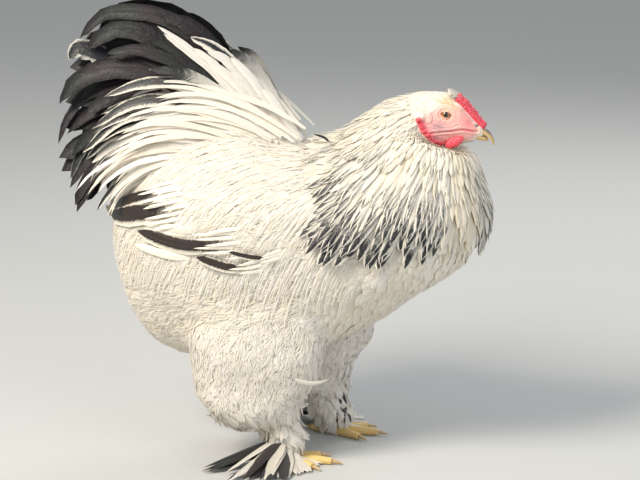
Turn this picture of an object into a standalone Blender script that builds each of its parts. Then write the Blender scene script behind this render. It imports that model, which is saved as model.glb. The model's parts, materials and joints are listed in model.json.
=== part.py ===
"""A light Brahma cockerel, life size, standing still with its neck drawn in.

Metres, +Z up. The bird faces +X and its right side is towards -Y. Every form is first a smooth skin
through a few rings, and each feather, lock and fold is set on one of these skins. The finished bird
is then moved so that the origin is on the floor, under the middle of its bounding box.
"""

import math
import random

import bmesh
import bpy
from mathutils import Matrix, Vector
from mathutils.bvhtree import BVHTree

# Clearance between nodes, and the wider one that is used where a node carries feathers
GAP = 0.00036
FEATHER_GAP = 0.0006
SEED = 11
FLAT_ANGLE = math.radians(0.4)  # faces that meet flatter than this after a cut become one
LEFT, RIGHT = 1, -1
SIDES = {RIGHT: "right", LEFT: "left"}
FLOOR = 0.0

# Each ring is an upper point (x, z), a side point (x, half width, z), a lower point (x, z) and the
# y of its middle. Rings run from front to rear, or from head to foot.
TORSO_RINGS = [
    (0.238, 0.302, 0.239, 0.014, 0.288, 0.236, 0.274, 0),
    (0.230, 0.335, 0.230, 0.050, 0.288, 0.222, 0.249, 0),
    (0.205, 0.362, 0.205, 0.079, 0.286, 0.196, 0.227, 0),
    (0.165, 0.378, 0.165, 0.097, 0.284, 0.157, 0.203, 0),
    (0.115, 0.384, 0.115, 0.107, 0.280, 0.112, 0.172, 0),
    (0.055, 0.388, 0.055, 0.113, 0.275, 0.055, 0.148, 0),
    (0.000, 0.400, 0.000, 0.115, 0.272, 0.000, 0.134, 0),
    (-0.055, 0.418, -0.055, 0.114, 0.272, -0.055, 0.123, 0),
    (-0.110, 0.424, -0.110, 0.106, 0.272, -0.112, 0.118, 0),
    (-0.158, 0.412, -0.163, 0.090, 0.272, -0.158, 0.130, 0),
    (-0.192, 0.384, -0.200, 0.067, 0.276, -0.194, 0.160, 0),
    (-0.210, 0.350, -0.218, 0.038, 0.284, -0.212, 0.205, 0),
    (-0.218, 0.322, -0.224, 0.012, 0.292, -0.220, 0.262, 0),
]

PATH_SHARES = (0, 0.33, 0.67, 1)  # places along a feather that lies on a skin
FLUFF_SHARES = (0, 0.3, 0.6, 0.85, 1)

# The cape is the surface that the hackle feathers lie on: upper is the nape, lower is the throat
CAPE_RINGS = [
    (0.150, 0.457, 0.166, 0.0290, 0.424, 0.204, 0.391, 0),
    (0.122, 0.448, 0.145, 0.052, 0.400, 0.232, 0.383, 0),
    (0.092, 0.429, 0.118, 0.089, 0.358, 0.245, 0.348, 0),
    (0.060, 0.409, 0.088, 0.117, 0.314, 0.254, 0.308, 0),
    (0.026, 0.403, 0.058, 0.129, 0.267, 0.244, 0.256, 0),
]
CAPE_FALL = 1.7  # above 1, the sides of the cape hang lower than a plane through nape and throat
NECK_INSET = 0.008  # the neck's flesh and down lie this far under the cape, and less next to the head
NECK_END = 0.72  # share of the cape's length that the neck's core reaches
HACKLE_TIERS = [  # root place, tip place, number, half width, and how far round from the nape they go
    (-0.02, 0.42, 8, 0.0150, 2.0),
    (0.20, 0.72, 10, 0.0200, 2.5),
    (0.48, 1.00, 14, 0.0205, math.pi),
]
FEATHER_RIDGE = 0.0024  # how far the shaft of a feather stands out over its edges
VANE_BELLY = 0.0004  # how far the underside of a feather lies under its edges
TIER_RISE = 0.0026  # each tier lies this much further out than the one that it covers

HEAD_RINGS = [
    (0.2400, 0.4190, 0.2400, 0.0080, 0.4150, 0.2395, 0.4085, 0),
    (0.2350, 0.4265, 0.2350, 0.0120, 0.4165, 0.2350, 0.4050, 0),
    (0.2250, 0.4390, 0.2260, 0.0170, 0.4190, 0.2280, 0.4020, 0),
    (0.2140, 0.4510, 0.2140, 0.0210, 0.4220, 0.2160, 0.3995, 0),
    (0.2000, 0.4595, 0.1990, 0.0240, 0.4240, 0.1990, 0.3965, 0),
    (0.1800, 0.4610, 0.1800, 0.0260, 0.4240, 0.1820, 0.3930, 0),
    (0.1610, 0.4600, 0.1630, 0.0265, 0.4220, 0.1670, 0.3910, 0),
    (0.1490, 0.4560, 0.1520, 0.0230, 0.4210, 0.1560, 0.3930, 0),
]
EYE = Vector((0.1983, 0.0168, 0.4363))
EYE_RADIUS = 0.0078
LID_RADII = (0.0080, 0.0062)  # along the eye's opening and across it
LID_THICK = 0.0016
LID_PROUD = 0.0050  # how far the ring of the lids stands out from the eye's middle

# Lines drawn on the side of the head, as (x, z)
MOUTH_LINE = [(0.181, 0.4143), (0.195, 0.4163), (0.210, 0.4177), (0.219, 0.4190), (0.232, 0.4165)]
MOUTH_WIDTH = 0.0010
JOWL_LINE = [(0.167, 0.4290), (0.173, 0.4170), (0.184, 0.4050), (0.193, 0.3990)]
JOWL_THICK = 0.0030
NOSTRIL = (0.2345, 0.4220)
NOSTRIL_SIZES = (0.0020, 0.0016, 0.0011)

COMB_ROWS = {-1: 4, 0: 5, 1: 4}  # a pea comb: a high middle row of beads between two low ones
COMB_START = 0.05
COMB_PITCH = 0.082
COMB_SPREAD = 0.42  # angle between two rows
COMB_BEAD = 0.0041
COMB_BASE = (0.0170, 0.0072, 0.0040)
WATTLE = Vector((0.2085, 0.0165, 0.4040))
WATTLE_SIZES = (0.0125, 0.0046, 0.0062)
WATTLE_LEAN = -30.0  # degrees that the wattle's front end is turned up
EARLOBE = Vector((0.1780, 0.0262, 0.4325))
EARLOBE_SIZES = (0.0066, 0.0034, 0.0070)

UPPER_BEAK_RINGS = [
    (0.2410, 0.4200, 0.2405, 0.0082, 0.4155, 0.2400, 0.4120, 0),
    (0.2465, 0.4170, 0.2455, 0.0072, 0.4120, 0.2450, 0.4095, 0),
    (0.2515, 0.4120, 0.2500, 0.0055, 0.4080, 0.2495, 0.4060, 0),
    (0.2550, 0.4055, 0.2535, 0.0034, 0.4030, 0.2525, 0.4020, 0),
    (0.2560, 0.3985, 0.2550, 0.0014, 0.3980, 0.2540, 0.3975, 0),
]
LOWER_BEAK_RINGS = [
    (0.2400, 0.4105, 0.2400, 0.0070, 0.4085, 0.2395, 0.4040, 0),
    (0.2440, 0.4085, 0.2440, 0.0056, 0.4070, 0.2435, 0.4030, 0),
    (0.2480, 0.4050, 0.2478, 0.0028, 0.4042, 0.2475, 0.4025, 0),
]

WING_RINGS = [
    (0.112, 0.334, 0.114, 0.008, 0.322, 0.112, 0.308, 0.098),
    (0.092, 0.344, 0.094, 0.015, 0.314, 0.090, 0.280, 0.098),
    (0.050, 0.352, 0.052, 0.020, 0.308, 0.048, 0.260, 0.098),
    (0.000, 0.356, 0.000, 0.023, 0.306, -0.004, 0.254, 0.098),
    (-0.050, 0.358, -0.050, 0.023, 0.307, -0.056, 0.254, 0.096),
    (-0.100, 0.358, -0.102, 0.022, 0.311, -0.106, 0.262, 0.089),
    (-0.145, 0.351, -0.148, 0.018, 0.315, -0.150, 0.275, 0.079),
    (-0.174, 0.343, -0.176, 0.012, 0.319, -0.178, 0.290, 0.069),
    (-0.198, 0.334, -0.200, 0.006, 0.322, -0.200, 0.307, 0.057),
]
WING_TIERS = [  # name, number, root places, tip places, root angles, tip angles, half width, lift
    ("flight", 6, (0.30, 0.62), (0.62, 1.00), (2.35, 1.50), (2.40, 1.50), 0.0130, 0.0022),
    ("covert", 5, (0.26, 0.56), (0.50, 0.84), (1.95, 1.15), (1.90, 1.10), 0.0130, 0.0040),
]

SADDLE_TIERS = [  # number a side, root places, tip places, root angles, tip angles, half width
    (4, (0.62, 0.50), (0.92, 0.74), (0.66, 0.72), (1.15, 0.92), 0.0150),
    (4, (0.52, 0.38), (0.80, 0.62), (0.62, 0.55), (0.80, 0.84), 0.0150),
]

# The tail's core of down and quills: upper is its front edge, lower its rear edge
TAIL_RINGS = [
    (0.020, 0.396, -0.080, 0.054, 0.372, -0.180, 0.350, 0),
    (-0.022, 0.450, -0.104, 0.046, 0.425, -0.205, 0.385, 0),
    (-0.074, 0.492, -0.138, 0.031, 0.463, -0.222, 0.425, 0),
    (-0.120, 0.514, -0.166, 0.014, 0.490, -0.222, 0.460, 0),
]
# Each tier runs from its uppermost feather to its lowest. Headings and bends are in degrees, and a
# heading is measured from straight ahead, over the bird's back.
TAIL_TIERS = [
    {
        "name": "rectrix", "number": 5, "heading": (131, 172), "length": (0.228, 0.195),
        "bend": (58, 52), "root": ((-0.056, 0.428), (-0.112, 0.392)), "y": (0.006, 0.030),
        "flare": (0.04, 0.20), "half_width": 0.020, "form": "ROUNDED",
    },
    {
        "name": "sickle", "number": 6, "heading": (127, 184), "length": (0.276, 0.200),
        "bend": (91, 80), "root": ((-0.036, 0.440), (-0.112, 0.400)), "y": (0.016, 0.042),
        "flare": (0.08, 0.34), "half_width": 0.018, "form": "SICKLE",
    },
    {
        "name": "covert", "number": 6, "heading": (133, 196), "length": (0.185, 0.165),
        "bend": (45, 66), "root": ((-0.015, 0.430), (-0.095, 0.398)), "y": (0.026, 0.056),
        "flare": (0.10, 0.35), "half_width": 0.016, "form": "SICKLE",
    },
]

# Legs: upper is the rear edge, lower the front edge. The left leg is a short step ahead.
LEG_Y = 0.066
LEG_STEP = {RIGHT: 0.0, LEFT: 0.032}
THIGH_RINGS = [
    (-0.084, 0.222, -0.010, 0.034, 0.210, 0.066, 0.202, 0),
    (-0.104, 0.165, -0.024, 0.046, 0.162, 0.060, 0.152, 0),
    (-0.110, 0.118, -0.034, 0.050, 0.116, 0.048, 0.114, 0),
    (-0.105, 0.078, -0.036, 0.046, 0.080, 0.030, 0.080, 0),
    (-0.080, 0.054, -0.026, 0.034, 0.058, 0.024, 0.060, 0),
    (-0.044, 0.045, -0.012, 0.018, 0.048, 0.018, 0.050, 0),
]
FLUFF_TIERS = [  # root place, tip place, number round the thigh, half width, turn of the first
    (0.22, 0.52, 7, 0.0180, 0.0),
    (0.42, 0.72, 7, 0.0180, 0.5),
    (0.60, 0.89, 6, 0.0175, 0.0),
]
FLUFF_LIFT = 0.009
CLUMP_RIDGE = 0.006
SHANK_RINGS = [
    (-0.020, 0.060, 0.000, 0.020, 0.062, 0.024, 0.064, 0),
    (-0.018, 0.040, 0.004, 0.018, 0.040, 0.026, 0.042, 0),
    (-0.014, 0.026, 0.008, 0.016, 0.026, 0.030, 0.028, 0),
    (-0.010, 0.0180, 0.010, 0.012, 0.0180, 0.026, 0.0190, 0),
]
ANKLE = Vector((0.008, 0.0, 0.0085))
ANKLE_SIZES = (0.015, 0.013, 0.0100)
TOE_RADIUS = 0.0062
TOE_SHARES = (0.0, 0.35, 0.7, 1.0)
TOE_HEIGHTS = (0.0056, 0.0052, 0.0047, 0.0038)  # below the toe's radius, so that the floor flattens it
TOE_TAPER = (1.05, 1.0, 0.92, 0.74)
TOES = {  # heading from straight ahead, towards the outer side, and length
    "inner": (-0.52, 0.046),
    "middle": (0.04, 0.060),
    "outer": (0.60, 0.050),
    "hind": (2.85, 0.030),
}
CLAW_LENGTH = 0.0125
CLAW_RADIUS = 0.0026
CLAW_DROP = 0.0024
# Feathers of the shank and of the foot: heading from straight ahead towards the outer side, length,
# and height of the root
SHANK_FEATHERS = [
    (0.95, 0.062, 0.029),
    (1.28, 0.074, 0.030),
    (1.60, 0.088, 0.032),
    (1.92, 0.102, 0.034),
    (2.22, 0.114, 0.035),
    (2.50, 0.098, 0.035),
]
FOOT_FEATHERS = [
    (-0.24, 0.036, 0.013),
    (0.10, 0.044, 0.014),
    (0.90, 0.048, 0.012),
    (1.30, 0.055, 0.012),
    (1.80, 0.055, 0.012),
]
FOOT_FEATHER_WIDTH = 0.0120
FEATHER_FLOOR = 0.0016  # foot feathers end this far above the floor


class Skin:
    """A smooth surface through rings: at(t, angle), with t from 0 to 1 and angle 0 at the upper point."""

    def __init__(self, rings, side=0, shift=(0, 0, 0), fall=1.0):
        self.rings = [Vector(ring) for ring in rings]
        self.side = side or 1
        self.shift = Vector(shift)
        self.fall = fall

    def ring(self, t):
        """The ring's eight sizes at t, along a Catmull-Rom spline through the rings."""
        spans = len(self.rings) - 1
        place = min(max(t, 0.0), 1.0) * spans
        i = min(int(place), spans - 1)
        f = place - i
        b, c = self.rings[i], self.rings[i + 1]
        a = self.rings[i - 1] if i > 0 else b * 2 - c
        d = self.rings[i + 2] if i + 2 <= spans else c * 2 - b
        curve = b * 2 + (c - a) * f + (a * 2 - b * 5 + c * 4 - d) * f**2
        return (curve + (b * 3 - a - c * 3 + d) * f**3) / 2

    def at(self, t, angle):
        top_x, top_z, side_x, half_y, side_z, low_x, low_z, mid_y = self.ring(t)
        c, s = math.cos(angle), math.sin(angle)
        end_x, end_z = (top_x, top_z) if c > 0 else (low_x, low_z)
        x = side_x + (end_x - side_x) * abs(c)
        z = side_z + (end_z - side_z) * abs(c) ** self.fall
        return Vector((x, self.side * (mid_y + half_y * s), z)) + self.shift

    def normal(self, t, angle, step=0.01):
        """The direction straight out of the skin, at its ends too."""
        t = min(max(t, step), 1 - step)
        round_it = self.at(t, angle + step) - self.at(t, angle - step)
        out = round_it.cross(self.at(t + step, angle) - self.at(t - step, angle)).normalized()
        middle = (self.at(t, 0) + self.at(t, math.pi)) / 2
        return out if out.dot(self.at(t, angle) - middle) > 0 else -out


def clear_scene():
    for old in list(bpy.data.objects):
        bpy.data.objects.remove(old)


def new_collection(name, hidden=False):
    made = bpy.data.collections.new(name)
    bpy.context.scene.collection.children.link(made)
    made.hide_render = hidden
    return made


def new_material(name, colour, roughness):
    made = bpy.data.materials.new(name)
    made.use_nodes = True
    shader = made.node_tree.nodes["Principled BSDF"]
    shader.inputs["Base Color"].default_value = (*colour, 1)
    shader.inputs["Roughness"].default_value = roughness
    return made


def new_object(name, bm, collection):
    """An object from a bmesh, triangulated and with its faces turned outwards."""
    bmesh.ops.triangulate(bm, faces=bm.faces)
    bmesh.ops.recalc_face_normals(bm, faces=bm.faces)
    mesh = bpy.data.meshes.new(name)
    bm.to_mesh(mesh)
    bm.free()
    made = bpy.data.objects.new(name, mesh)
    collection.objects.link(made)
    return made


def loft(name, loops, collection):
    """A closed solid through loops of points that all have as many."""
    bm = bmesh.new()
    loops = [[bm.verts.new(point) for point in loop] for loop in loops]
    for a, b in zip(loops, loops[1:]):
        for j in range(len(a)):
            k = (j + 1) % len(a)
            bm.faces.new((a[j], a[k], b[k], b[j]))
    bm.faces.new(loops[0])
    bm.faces.new(loops[-1])
    return new_object(name, bm, collection)


def skin_mesh(name, skin, rings, sides, collection, end=1.0, inset=0.0):
    """A solid lofted along a skin, as far as end, at a depth under it that starts from nothing."""
    loops = []
    angles = [2 * math.pi * j / sides for j in range(sides)]
    for i in range(rings):
        t = end * i / (rings - 1)
        depth = inset * min(1.0, 3 * t)
        loops.append([skin.at(t, angle) - skin.normal(t, angle) * depth for angle in angles])
    return loft(name, loops, collection)


def ball(name, centre, sizes, collection, segments=12, rings=8, turn=None):
    """An ellipsoid, turned by a matrix before it is placed."""
    bm = bmesh.new()
    bmesh.ops.create_uvsphere(bm, u_segments=segments, v_segments=rings, radius=1.0)
    place = Matrix.Translation(centre) @ (turn or Matrix()) @ Matrix.Diagonal((*sizes, 1))
    bmesh.ops.transform(bm, matrix=place, verts=bm.verts)
    return new_object(name, bm, collection)


def tube(name, points, radii, sides, collection):
    """A round tube through points, with a radius for each and closed ends."""
    loops = []
    for i, point in enumerate(points):
        ahead = points[min(i + 1, len(points) - 1)]
        heading = (ahead - points[max(i - 1, 0)]).normalized()
        across = heading.cross(Vector((0, 0, 1))).normalized()
        up = across.cross(heading)
        loop = []
        for j in range(sides):
            angle = 2 * math.pi * (j + 0.5) / sides
            out = across * math.cos(angle) + up * math.sin(angle)
            loop.append(point + out * radii[i])
        loops.append(loop)
    return loft(name, loops, collection)


def eyelid(name, centre, out, collection):
    """A ring round the eye that faces out, longer than high."""
    along, across = LID_RADII
    bpy.ops.mesh.primitive_torus_add(
        major_radius=along, minor_radius=LID_THICK, major_segments=12, minor_segments=5
    )
    made = bpy.context.object
    made.name = name
    for old in list(made.users_collection):
        old.objects.unlink(made)
    collection.objects.link(made)
    turn = out.to_track_quat("Z", "Y").to_matrix().to_4x4()
    made.data.transform(Matrix.Translation(centre) @ turn @ Matrix.Diagonal((1, across / along, 1, 1)))
    return made


# Half width along a feather, as a share of its greatest: root, where it is widest, how blunt its end is
FORMS = {
    "POINTED": (0.45, 0.45, 1.5),
    "ROUNDED": (0.55, 0.55, 3.2),
    "SICKLE": (0.50, 0.45, 2.3),
    "CLUMP": (0.60, 0.50, 2.4),
}


def vane_width(form, s):
    root, widest, blunt = FORMS[form]
    if s < widest:
        return root + (1 - root) * math.sin(math.pi / 2 * s / widest)
    return 1 - ((s - widest) / (1 - widest)) ** blunt


def vane(name, path, outs, half_width, form, collection, ridge=FEATHER_RIDGE):
    """A feather or lock as one closed vane with a raised shaft, along path, with outs its outer side.

    Each half is split into triangles alike above and below, so that a twist can't make them cross.
    """
    bm = bmesh.new()
    steps = len(path) - 1
    rows = []
    for i in range(steps):
        heading = (path[i + 1] - path[max(i - 1, 0)]).normalized()
        side = heading.cross(outs[i]).normalized()
        out = side.cross(heading)
        s = i / steps
        wide = side * half_width * vane_width(form, s)
        rise = out * ridge * (1 - 0.45 * s)
        rows.append([bm.verts.new(path[i] + step) for step in (-wide, rise, wide, -out * VANE_BELLY)])
    tip = bm.verts.new(path[-1])
    for edge in (0, 2):
        for middle in (1, 3):
            for a, b in zip(rows, rows[1:]):
                bm.faces.new((a[edge], a[middle], b[middle]))
                bm.faces.new((a[edge], b[middle], b[edge]))
            bm.faces.new((rows[-1][edge], rows[-1][middle], tip))
    bm.faces.new(rows[0])
    return new_object(name, bm, collection)


def combine(target, pieces, operation="UNION"):
    """One Boolean of target with a list of closed objects, applied, and the pieces removed."""
    group = bpy.data.collections.new(target.name + "_pieces")
    bpy.context.scene.collection.children.link(group)
    for piece in pieces:
        group.objects.link(piece)
    modifier = target.modifiers.new("combine", "BOOLEAN")
    modifier.operation = operation
    modifier.operand_type = "COLLECTION"
    modifier.collection = group
    modifier.solver = "MANIFOLD"
    bpy.context.view_layer.update()
    graph = bpy.context.evaluated_depsgraph_get()
    mesh = bpy.data.meshes.new_from_object(target.evaluated_get(graph))
    target.modifiers.clear()
    target.data = mesh
    for piece in pieces:
        bpy.data.objects.remove(piece)
    bpy.data.collections.remove(group)


def cut_clear(target, neighbours, bird, gap=GAP, extra=(), whole=True):
    """Cuts a node back from its neighbours by a gap. If it is whole, it keeps its largest body only."""
    cutters = []
    for node in neighbours:
        bm = bmesh.new()
        bm.from_mesh(node.data)
        bm.normal_update()
        for vertex in bm.verts:
            vertex.co += vertex.normal * gap
        cutters.append(new_object(node.name + "_cutter", bm, bird.cutters))
    combine(target, [*cutters, *extra], "DIFFERENCE")
    if whole:
        keep_largest(target)


def volume(shell):
    """Three times the volume inside a closed shell of faces."""
    return sum(face.calc_center_median().dot(face.normal) * face.calc_area() for face in shell)


def drop_slivers(bm):
    """Removes each pair of flat triangles that lie on each other, where more than two faces meet."""
    pairs = []
    for edge in bm.edges:
        if len(edge.link_faces) > 2:
            by_corner = {}
            for face in edge.link_faces:
                corner = next(vertex for vertex in face.verts if vertex not in edge.verts)
                by_corner.setdefault(corner, []).append(face)
            pairs += [faces for faces in by_corner.values() if len(faces) == 2]
    bmesh.ops.delete(bm, geom=list({face for faces in pairs for face in faces}), context="FACES")


def keep_largest(target):
    """Leaves only the closed surface that holds most, so that a node is one body."""
    bm = bmesh.new()
    bm.from_mesh(target.data)
    bmesh.ops.dissolve_limit(bm, angle_limit=FLAT_ANGLE, verts=bm.verts, edges=bm.edges)
    bmesh.ops.triangulate(bm, faces=bm.faces)
    drop_slivers(bm)
    unseen = set(bm.faces)
    shells = []
    while unseen:
        stack = [unseen.pop()]
        shell = list(stack)
        while stack:
            for edge in stack.pop().edges:
                for face in edge.link_faces:
                    if face in unseen:
                        unseen.discard(face)
                        shell.append(face)
                        stack.append(face)
        shells.append(shell)
    shells.sort(key=volume)
    for shell in shells[:-1]:
        bmesh.ops.delete(bm, geom=list({v for f in shell for v in f.verts}), context="VERTS")
    bm.to_mesh(target.data)
    bm.free()


def surface(node):
    """A tree of a node's faces, to lay feathers on and to find places on its side."""
    mesh = node.data
    corners = [vertex.co.copy() for vertex in mesh.vertices]
    return BVHTree.FromPolygons(corners, [tuple(face.vertices) for face in mesh.polygons])


def drape(path, outs, trees, clear):
    """Moves a feather's points, all but its root, outwards until they clear what they lie over."""
    reach, most = 0.020, 0.008
    rises = [0.0]
    for point, out in zip(path[1:], outs[1:]):
        rise = 0.0
        for tree in trees:
            place, facing, _, far = tree.ray_cast(point + out * reach, -out, reach + clear)
            if place and facing.dot(out) > 0:
                rise = max(rise, reach + clear - far)
        rises.append(min(rise, most))
    for i in range(1, len(rises) - 1):
        rises[i] = max(rises[i], (rises[i - 1] + rises[i + 1]) / 2)
    return [point + out * rise for point, out, rise in zip(path, outs, rises)]


def on_side(tree, side, x, z):
    """The point and the outer direction on a node's side, seen straight from that side."""
    far = 0.3
    place, normal, _, _ = tree.ray_cast(Vector((x, side * far, z)), Vector((0, -side, 0)))
    return place, normal


def share(pair, f):
    """The value between a pair's first and last, at f from 0 to 1."""
    return pair[0] + (pair[1] - pair[0]) * f


class Bird:
    """The collections, the materials and the seeded chance that every sub-part uses."""

    def __init__(self):
        self.parts = new_collection("brahma_cockerel")
        self.cutters = new_collection("cutters", hidden=True)
        self.chance = random.Random(SEED)
        self.white = new_material("white_feather", (0.86, 0.82, 0.74), 0.75)
        self.black = new_material("black_feather", (0.03, 0.03, 0.035), 0.45)
        self.red = new_material("red_skin", (0.62, 0.10, 0.10), 0.55)
        self.pink = new_material("earlobe_skin", (0.80, 0.55, 0.48), 0.55)
        self.horn = new_material("horn", (0.55, 0.42, 0.22), 0.35)
        self.amber = new_material("eye", (0.35, 0.14, 0.03), 0.08)

    def dress(self, node, material):
        node.data.materials.clear()
        node.data.materials.append(material)
        node.data.shade_smooth()
        node.data.set_sharp_from_angle(angle=math.radians(35))
        return node


def build_torso(bird):
    return bird.dress(skin_mesh("torso", Skin(TORSO_RINGS), 14, 18, bird.parts), bird.white)


def build_saddle(bird, torso, over_nodes):
    """Saddle feathers that sweep back along the rump, between the wings and the root of the tail."""
    skin = Skin(TORSO_RINGS)
    over = [surface(node) for node in over_nodes]
    vanes = []
    for tier, (number, roots, tips, root_angles, tip_angles, half_width) in enumerate(SADDLE_TIERS):
        for side in SIDES:
            for k in range(number):
                f = k / (number - 1)
                start, end = share(roots, f), share(tips, f) + bird.chance.uniform(-0.015, 0.015)
                path, outs = [], []
                for s in PATH_SHARES:
                    t = start + (end - start) * s
                    angle = side * (share(root_angles, f) * (1 - s) + share(tip_angles, f) * s)
                    out = skin.normal(t, angle)
                    lift = 0.0012 + TIER_RISE * tier
                    path.append(skin.at(t, angle) + out * (lift - 0.009 * (1 - s) ** 3))
                    outs.append(out)
                path = drape(path, outs, over, lift)
                vanes.append(vane(f"saddle_{tier}_{k}", path, outs, half_width, "POINTED", bird.parts))
    saddle = vanes.pop()
    combine(saddle, vanes)
    cut_clear(saddle, over_nodes, bird, FEATHER_GAP, whole=False)
    combine(torso, [saddle])
    keep_largest(torso)
    bird.dress(torso, bird.white)


def head_core(name, collection):
    return skin_mesh(name, Skin(HEAD_RINGS), 12, 16, collection)


def jowl_folds(tree, collection):
    """The fold of skin that runs down behind each cheek."""
    folds = []
    for side in SIDES:
        jowl = [on_side(tree, side, x, z)[0] for x, z in JOWL_LINE]
        thick = [JOWL_THICK * taper for taper in (0.6, 1.0, 1.0, 0.6)]
        folds.append(tube(f"jowl_{side}", jowl, thick, 5, collection))
    return folds


def build_head(bird):
    """The head, with the ring of its lids, the jowl's fold, the mouth's line and the nostrils."""
    head = head_core("head", bird.parts)
    tree = surface(head)
    raised, sunk = [], []
    for side in SIDES:
        eye = Vector((EYE.x, side * EYE.y, EYE.z))
        out = Vector((0.10, side, 0.12)).normalized()
        raised.append(eyelid(f"lid_{side}", eye + out * LID_PROUD, out, bird.parts))
        sunk.append(ball(f"socket_{side}", eye, (EYE_RADIUS + GAP,) * 3, bird.cutters))
        mouth = [on_side(tree, side, x, z)[0] for x, z in MOUTH_LINE]
        sunk.append(tube(f"mouth_{side}", mouth, [MOUTH_WIDTH] * len(mouth), 4, bird.cutters))
        nostril, _ = on_side(tree, side, *NOSTRIL)
        sunk.append(ball(f"nostril_{side}", nostril, NOSTRIL_SIZES, bird.cutters, 8, 5))
    combine(head, raised + jowl_folds(tree, bird.parts))
    combine(head, sunk, "DIFFERENCE")
    keep_largest(head)
    return bird.dress(head, bird.white)


def build_eyes(bird):
    for side, name in SIDES.items():
        centre = Vector((EYE.x, side * EYE.y, EYE.z))
        eye = ball("eye_" + name, centre, (EYE_RADIUS,) * 3, bird.parts, 12, 8)
        bird.dress(eye, bird.amber)


def build_beak(bird, head):
    upper = skin_mesh("upper_beak", Skin(UPPER_BEAK_RINGS), 8, 12, bird.parts)
    lower = skin_mesh("lower_beak", Skin(LOWER_BEAK_RINGS), 5, 10, bird.parts)
    cut_clear(upper, [head], bird)
    cut_clear(lower, [head, upper], bird)
    bird.dress(lower, bird.horn)
    return bird.dress(upper, bird.horn)


def build_comb(bird, head, beak):
    """Three rows of beads on a low base, from the beak's root up the forehead."""
    skin = Skin(HEAD_RINGS)
    middle = COMB_START + COMB_PITCH * 2.0
    slope = (skin.at(middle + 0.05, 0) - skin.at(middle - 0.05, 0)).to_track_quat("X", "Z").to_matrix()
    base = skin.at(middle, 0) + skin.normal(middle, 0) * 0.0012
    comb = ball("comb", base, COMB_BASE, bird.parts, 10, 6, slope.to_4x4())
    beads = []
    for row, number in COMB_ROWS.items():
        for k in range(number):
            t = COMB_START + COMB_PITCH * (k + abs(row) * 0.5)
            angle = row * COMB_SPREAD
            out = skin.normal(t, angle)
            high = 0.0030 - 0.0014 * abs(row)
            size = COMB_BEAD * bird.chance.uniform(0.9, 1.1)
            turn = out.to_track_quat("Z", "Y").to_matrix().to_4x4()
            centre = skin.at(t, angle) + out * high
            sizes = (size, size, size * 1.15)
            beads.append(ball(f"bead_{row}_{k}", centre, sizes, bird.parts, 6, 4, turn))
    combine(comb, beads)
    cut_clear(comb, [head, beak], bird)
    return bird.dress(comb, bird.red)


def build_lobes(bird, head, beak):
    """The wattles, which are small folded bulbs, and the earlobes."""
    made = []
    for side, name in SIDES.items():
        centre = Vector((WATTLE.x, side * WATTLE.y, WATTLE.z))
        lean = Matrix.Rotation(math.radians(WATTLE_LEAN), 4, "Y")
        wattle = ball("wattle_" + name, centre, WATTLE_SIZES, bird.parts, 10, 6, lean)
        folds = []
        for along, size in ((-0.0065, 0.0056), (0.0060, 0.0048)):
            place = centre + lean.to_3x3() @ Vector((along, side * 0.001, -0.0012))
            folds.append(ball("fold", place, (size, 0.0048, size), bird.parts, 8, 6))
        combine(wattle, folds)
        cut_clear(wattle, [head, beak], bird)
        bird.dress(wattle, bird.red)
        centre = Vector((EARLOBE.x, side * EARLOBE.y, EARLOBE.z))
        earlobe = ball("earlobe_" + name, centre, EARLOBE_SIZES, bird.parts, 10, 6)
        cut_clear(earlobe, [head], bird)
        bird.dress(earlobe, bird.pink)
        made += [wattle, earlobe]
    return made


def build_neck(bird, neighbours):
    """The neck's core, and long pointed hackle feathers in tiers that lie over the shoulders."""
    cape = Skin(CAPE_RINGS, fall=CAPE_FALL)
    neck = skin_mesh("neck", cape, 8, 16, bird.parts, NECK_END, NECK_INSET)
    over = [surface(node) for node in neighbours[:3]]  # the torso and the wings
    vanes = []
    for tier, (root, tip, number, half_width, arc) in enumerate(HACKLE_TIERS):
        rise = 0.0008 + TIER_RISE * (len(HACKLE_TIERS) - 1 - tier)
        for k in range(number):
            angle = arc * (2 * (k + 0.5) / number - 1)
            reach = tip - root + bird.chance.uniform(-0.03, 0.02)
            path, outs = [], []
            for s in PATH_SHARES:
                t = root + reach * s
                out = cape.normal(t, angle)
                path.append(cape.at(t, angle) + out * (rise * s - 1.4 * NECK_INSET * (1 - s) ** 2))
                outs.append(out)
            path = drape(path, outs, over, 0.0008 + rise * 0.6)
            vanes.append(vane(f"hackle_{tier}_{k}", path, outs, half_width, "POINTED", bird.parts))
    combine(neck, vanes)
    core = head_core("head_core", bird.cutters)
    plain_head = [core, *jowl_folds(surface(core), bird.cutters)]
    cut_clear(neck, [*neighbours, *plain_head], bird, FEATHER_GAP)
    for piece in plain_head:
        bpy.data.objects.remove(piece)
    return bird.dress(neck, bird.white)


def build_wing(bird, side, torso):
    """A folded wing, with its flight feathers along the lower edge and coverts above them."""
    skin = Skin(WING_RINGS, side)
    wing = skin_mesh("wing_" + SIDES[side], skin, 12, 14, bird.parts)
    vanes = []
    for name, number, roots, tips, root_angles, tip_angles, half_width, lift in WING_TIERS:
        for k in range(number):
            f = k / (number - 1)
            start, end = share(roots, f), share(tips, f) + bird.chance.uniform(-0.01, 0.01)
            path, outs = [], []
            for s in PATH_SHARES:
                t = start + (end - start) * s
                angle = share(root_angles, f) * (1 - s) + share(tip_angles, f) * s
                out = skin.normal(t, angle)
                path.append(skin.at(t, angle) + out * (-0.006 * (1 - s) ** 2 + lift * s))
                outs.append(out)
            vanes.append(vane(f"{name}_{k}", path, outs, half_width, "ROUNDED", bird.parts))
    combine(wing, vanes)
    cut_clear(wing, [torso], bird)
    return bird.dress(wing, bird.white)


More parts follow.
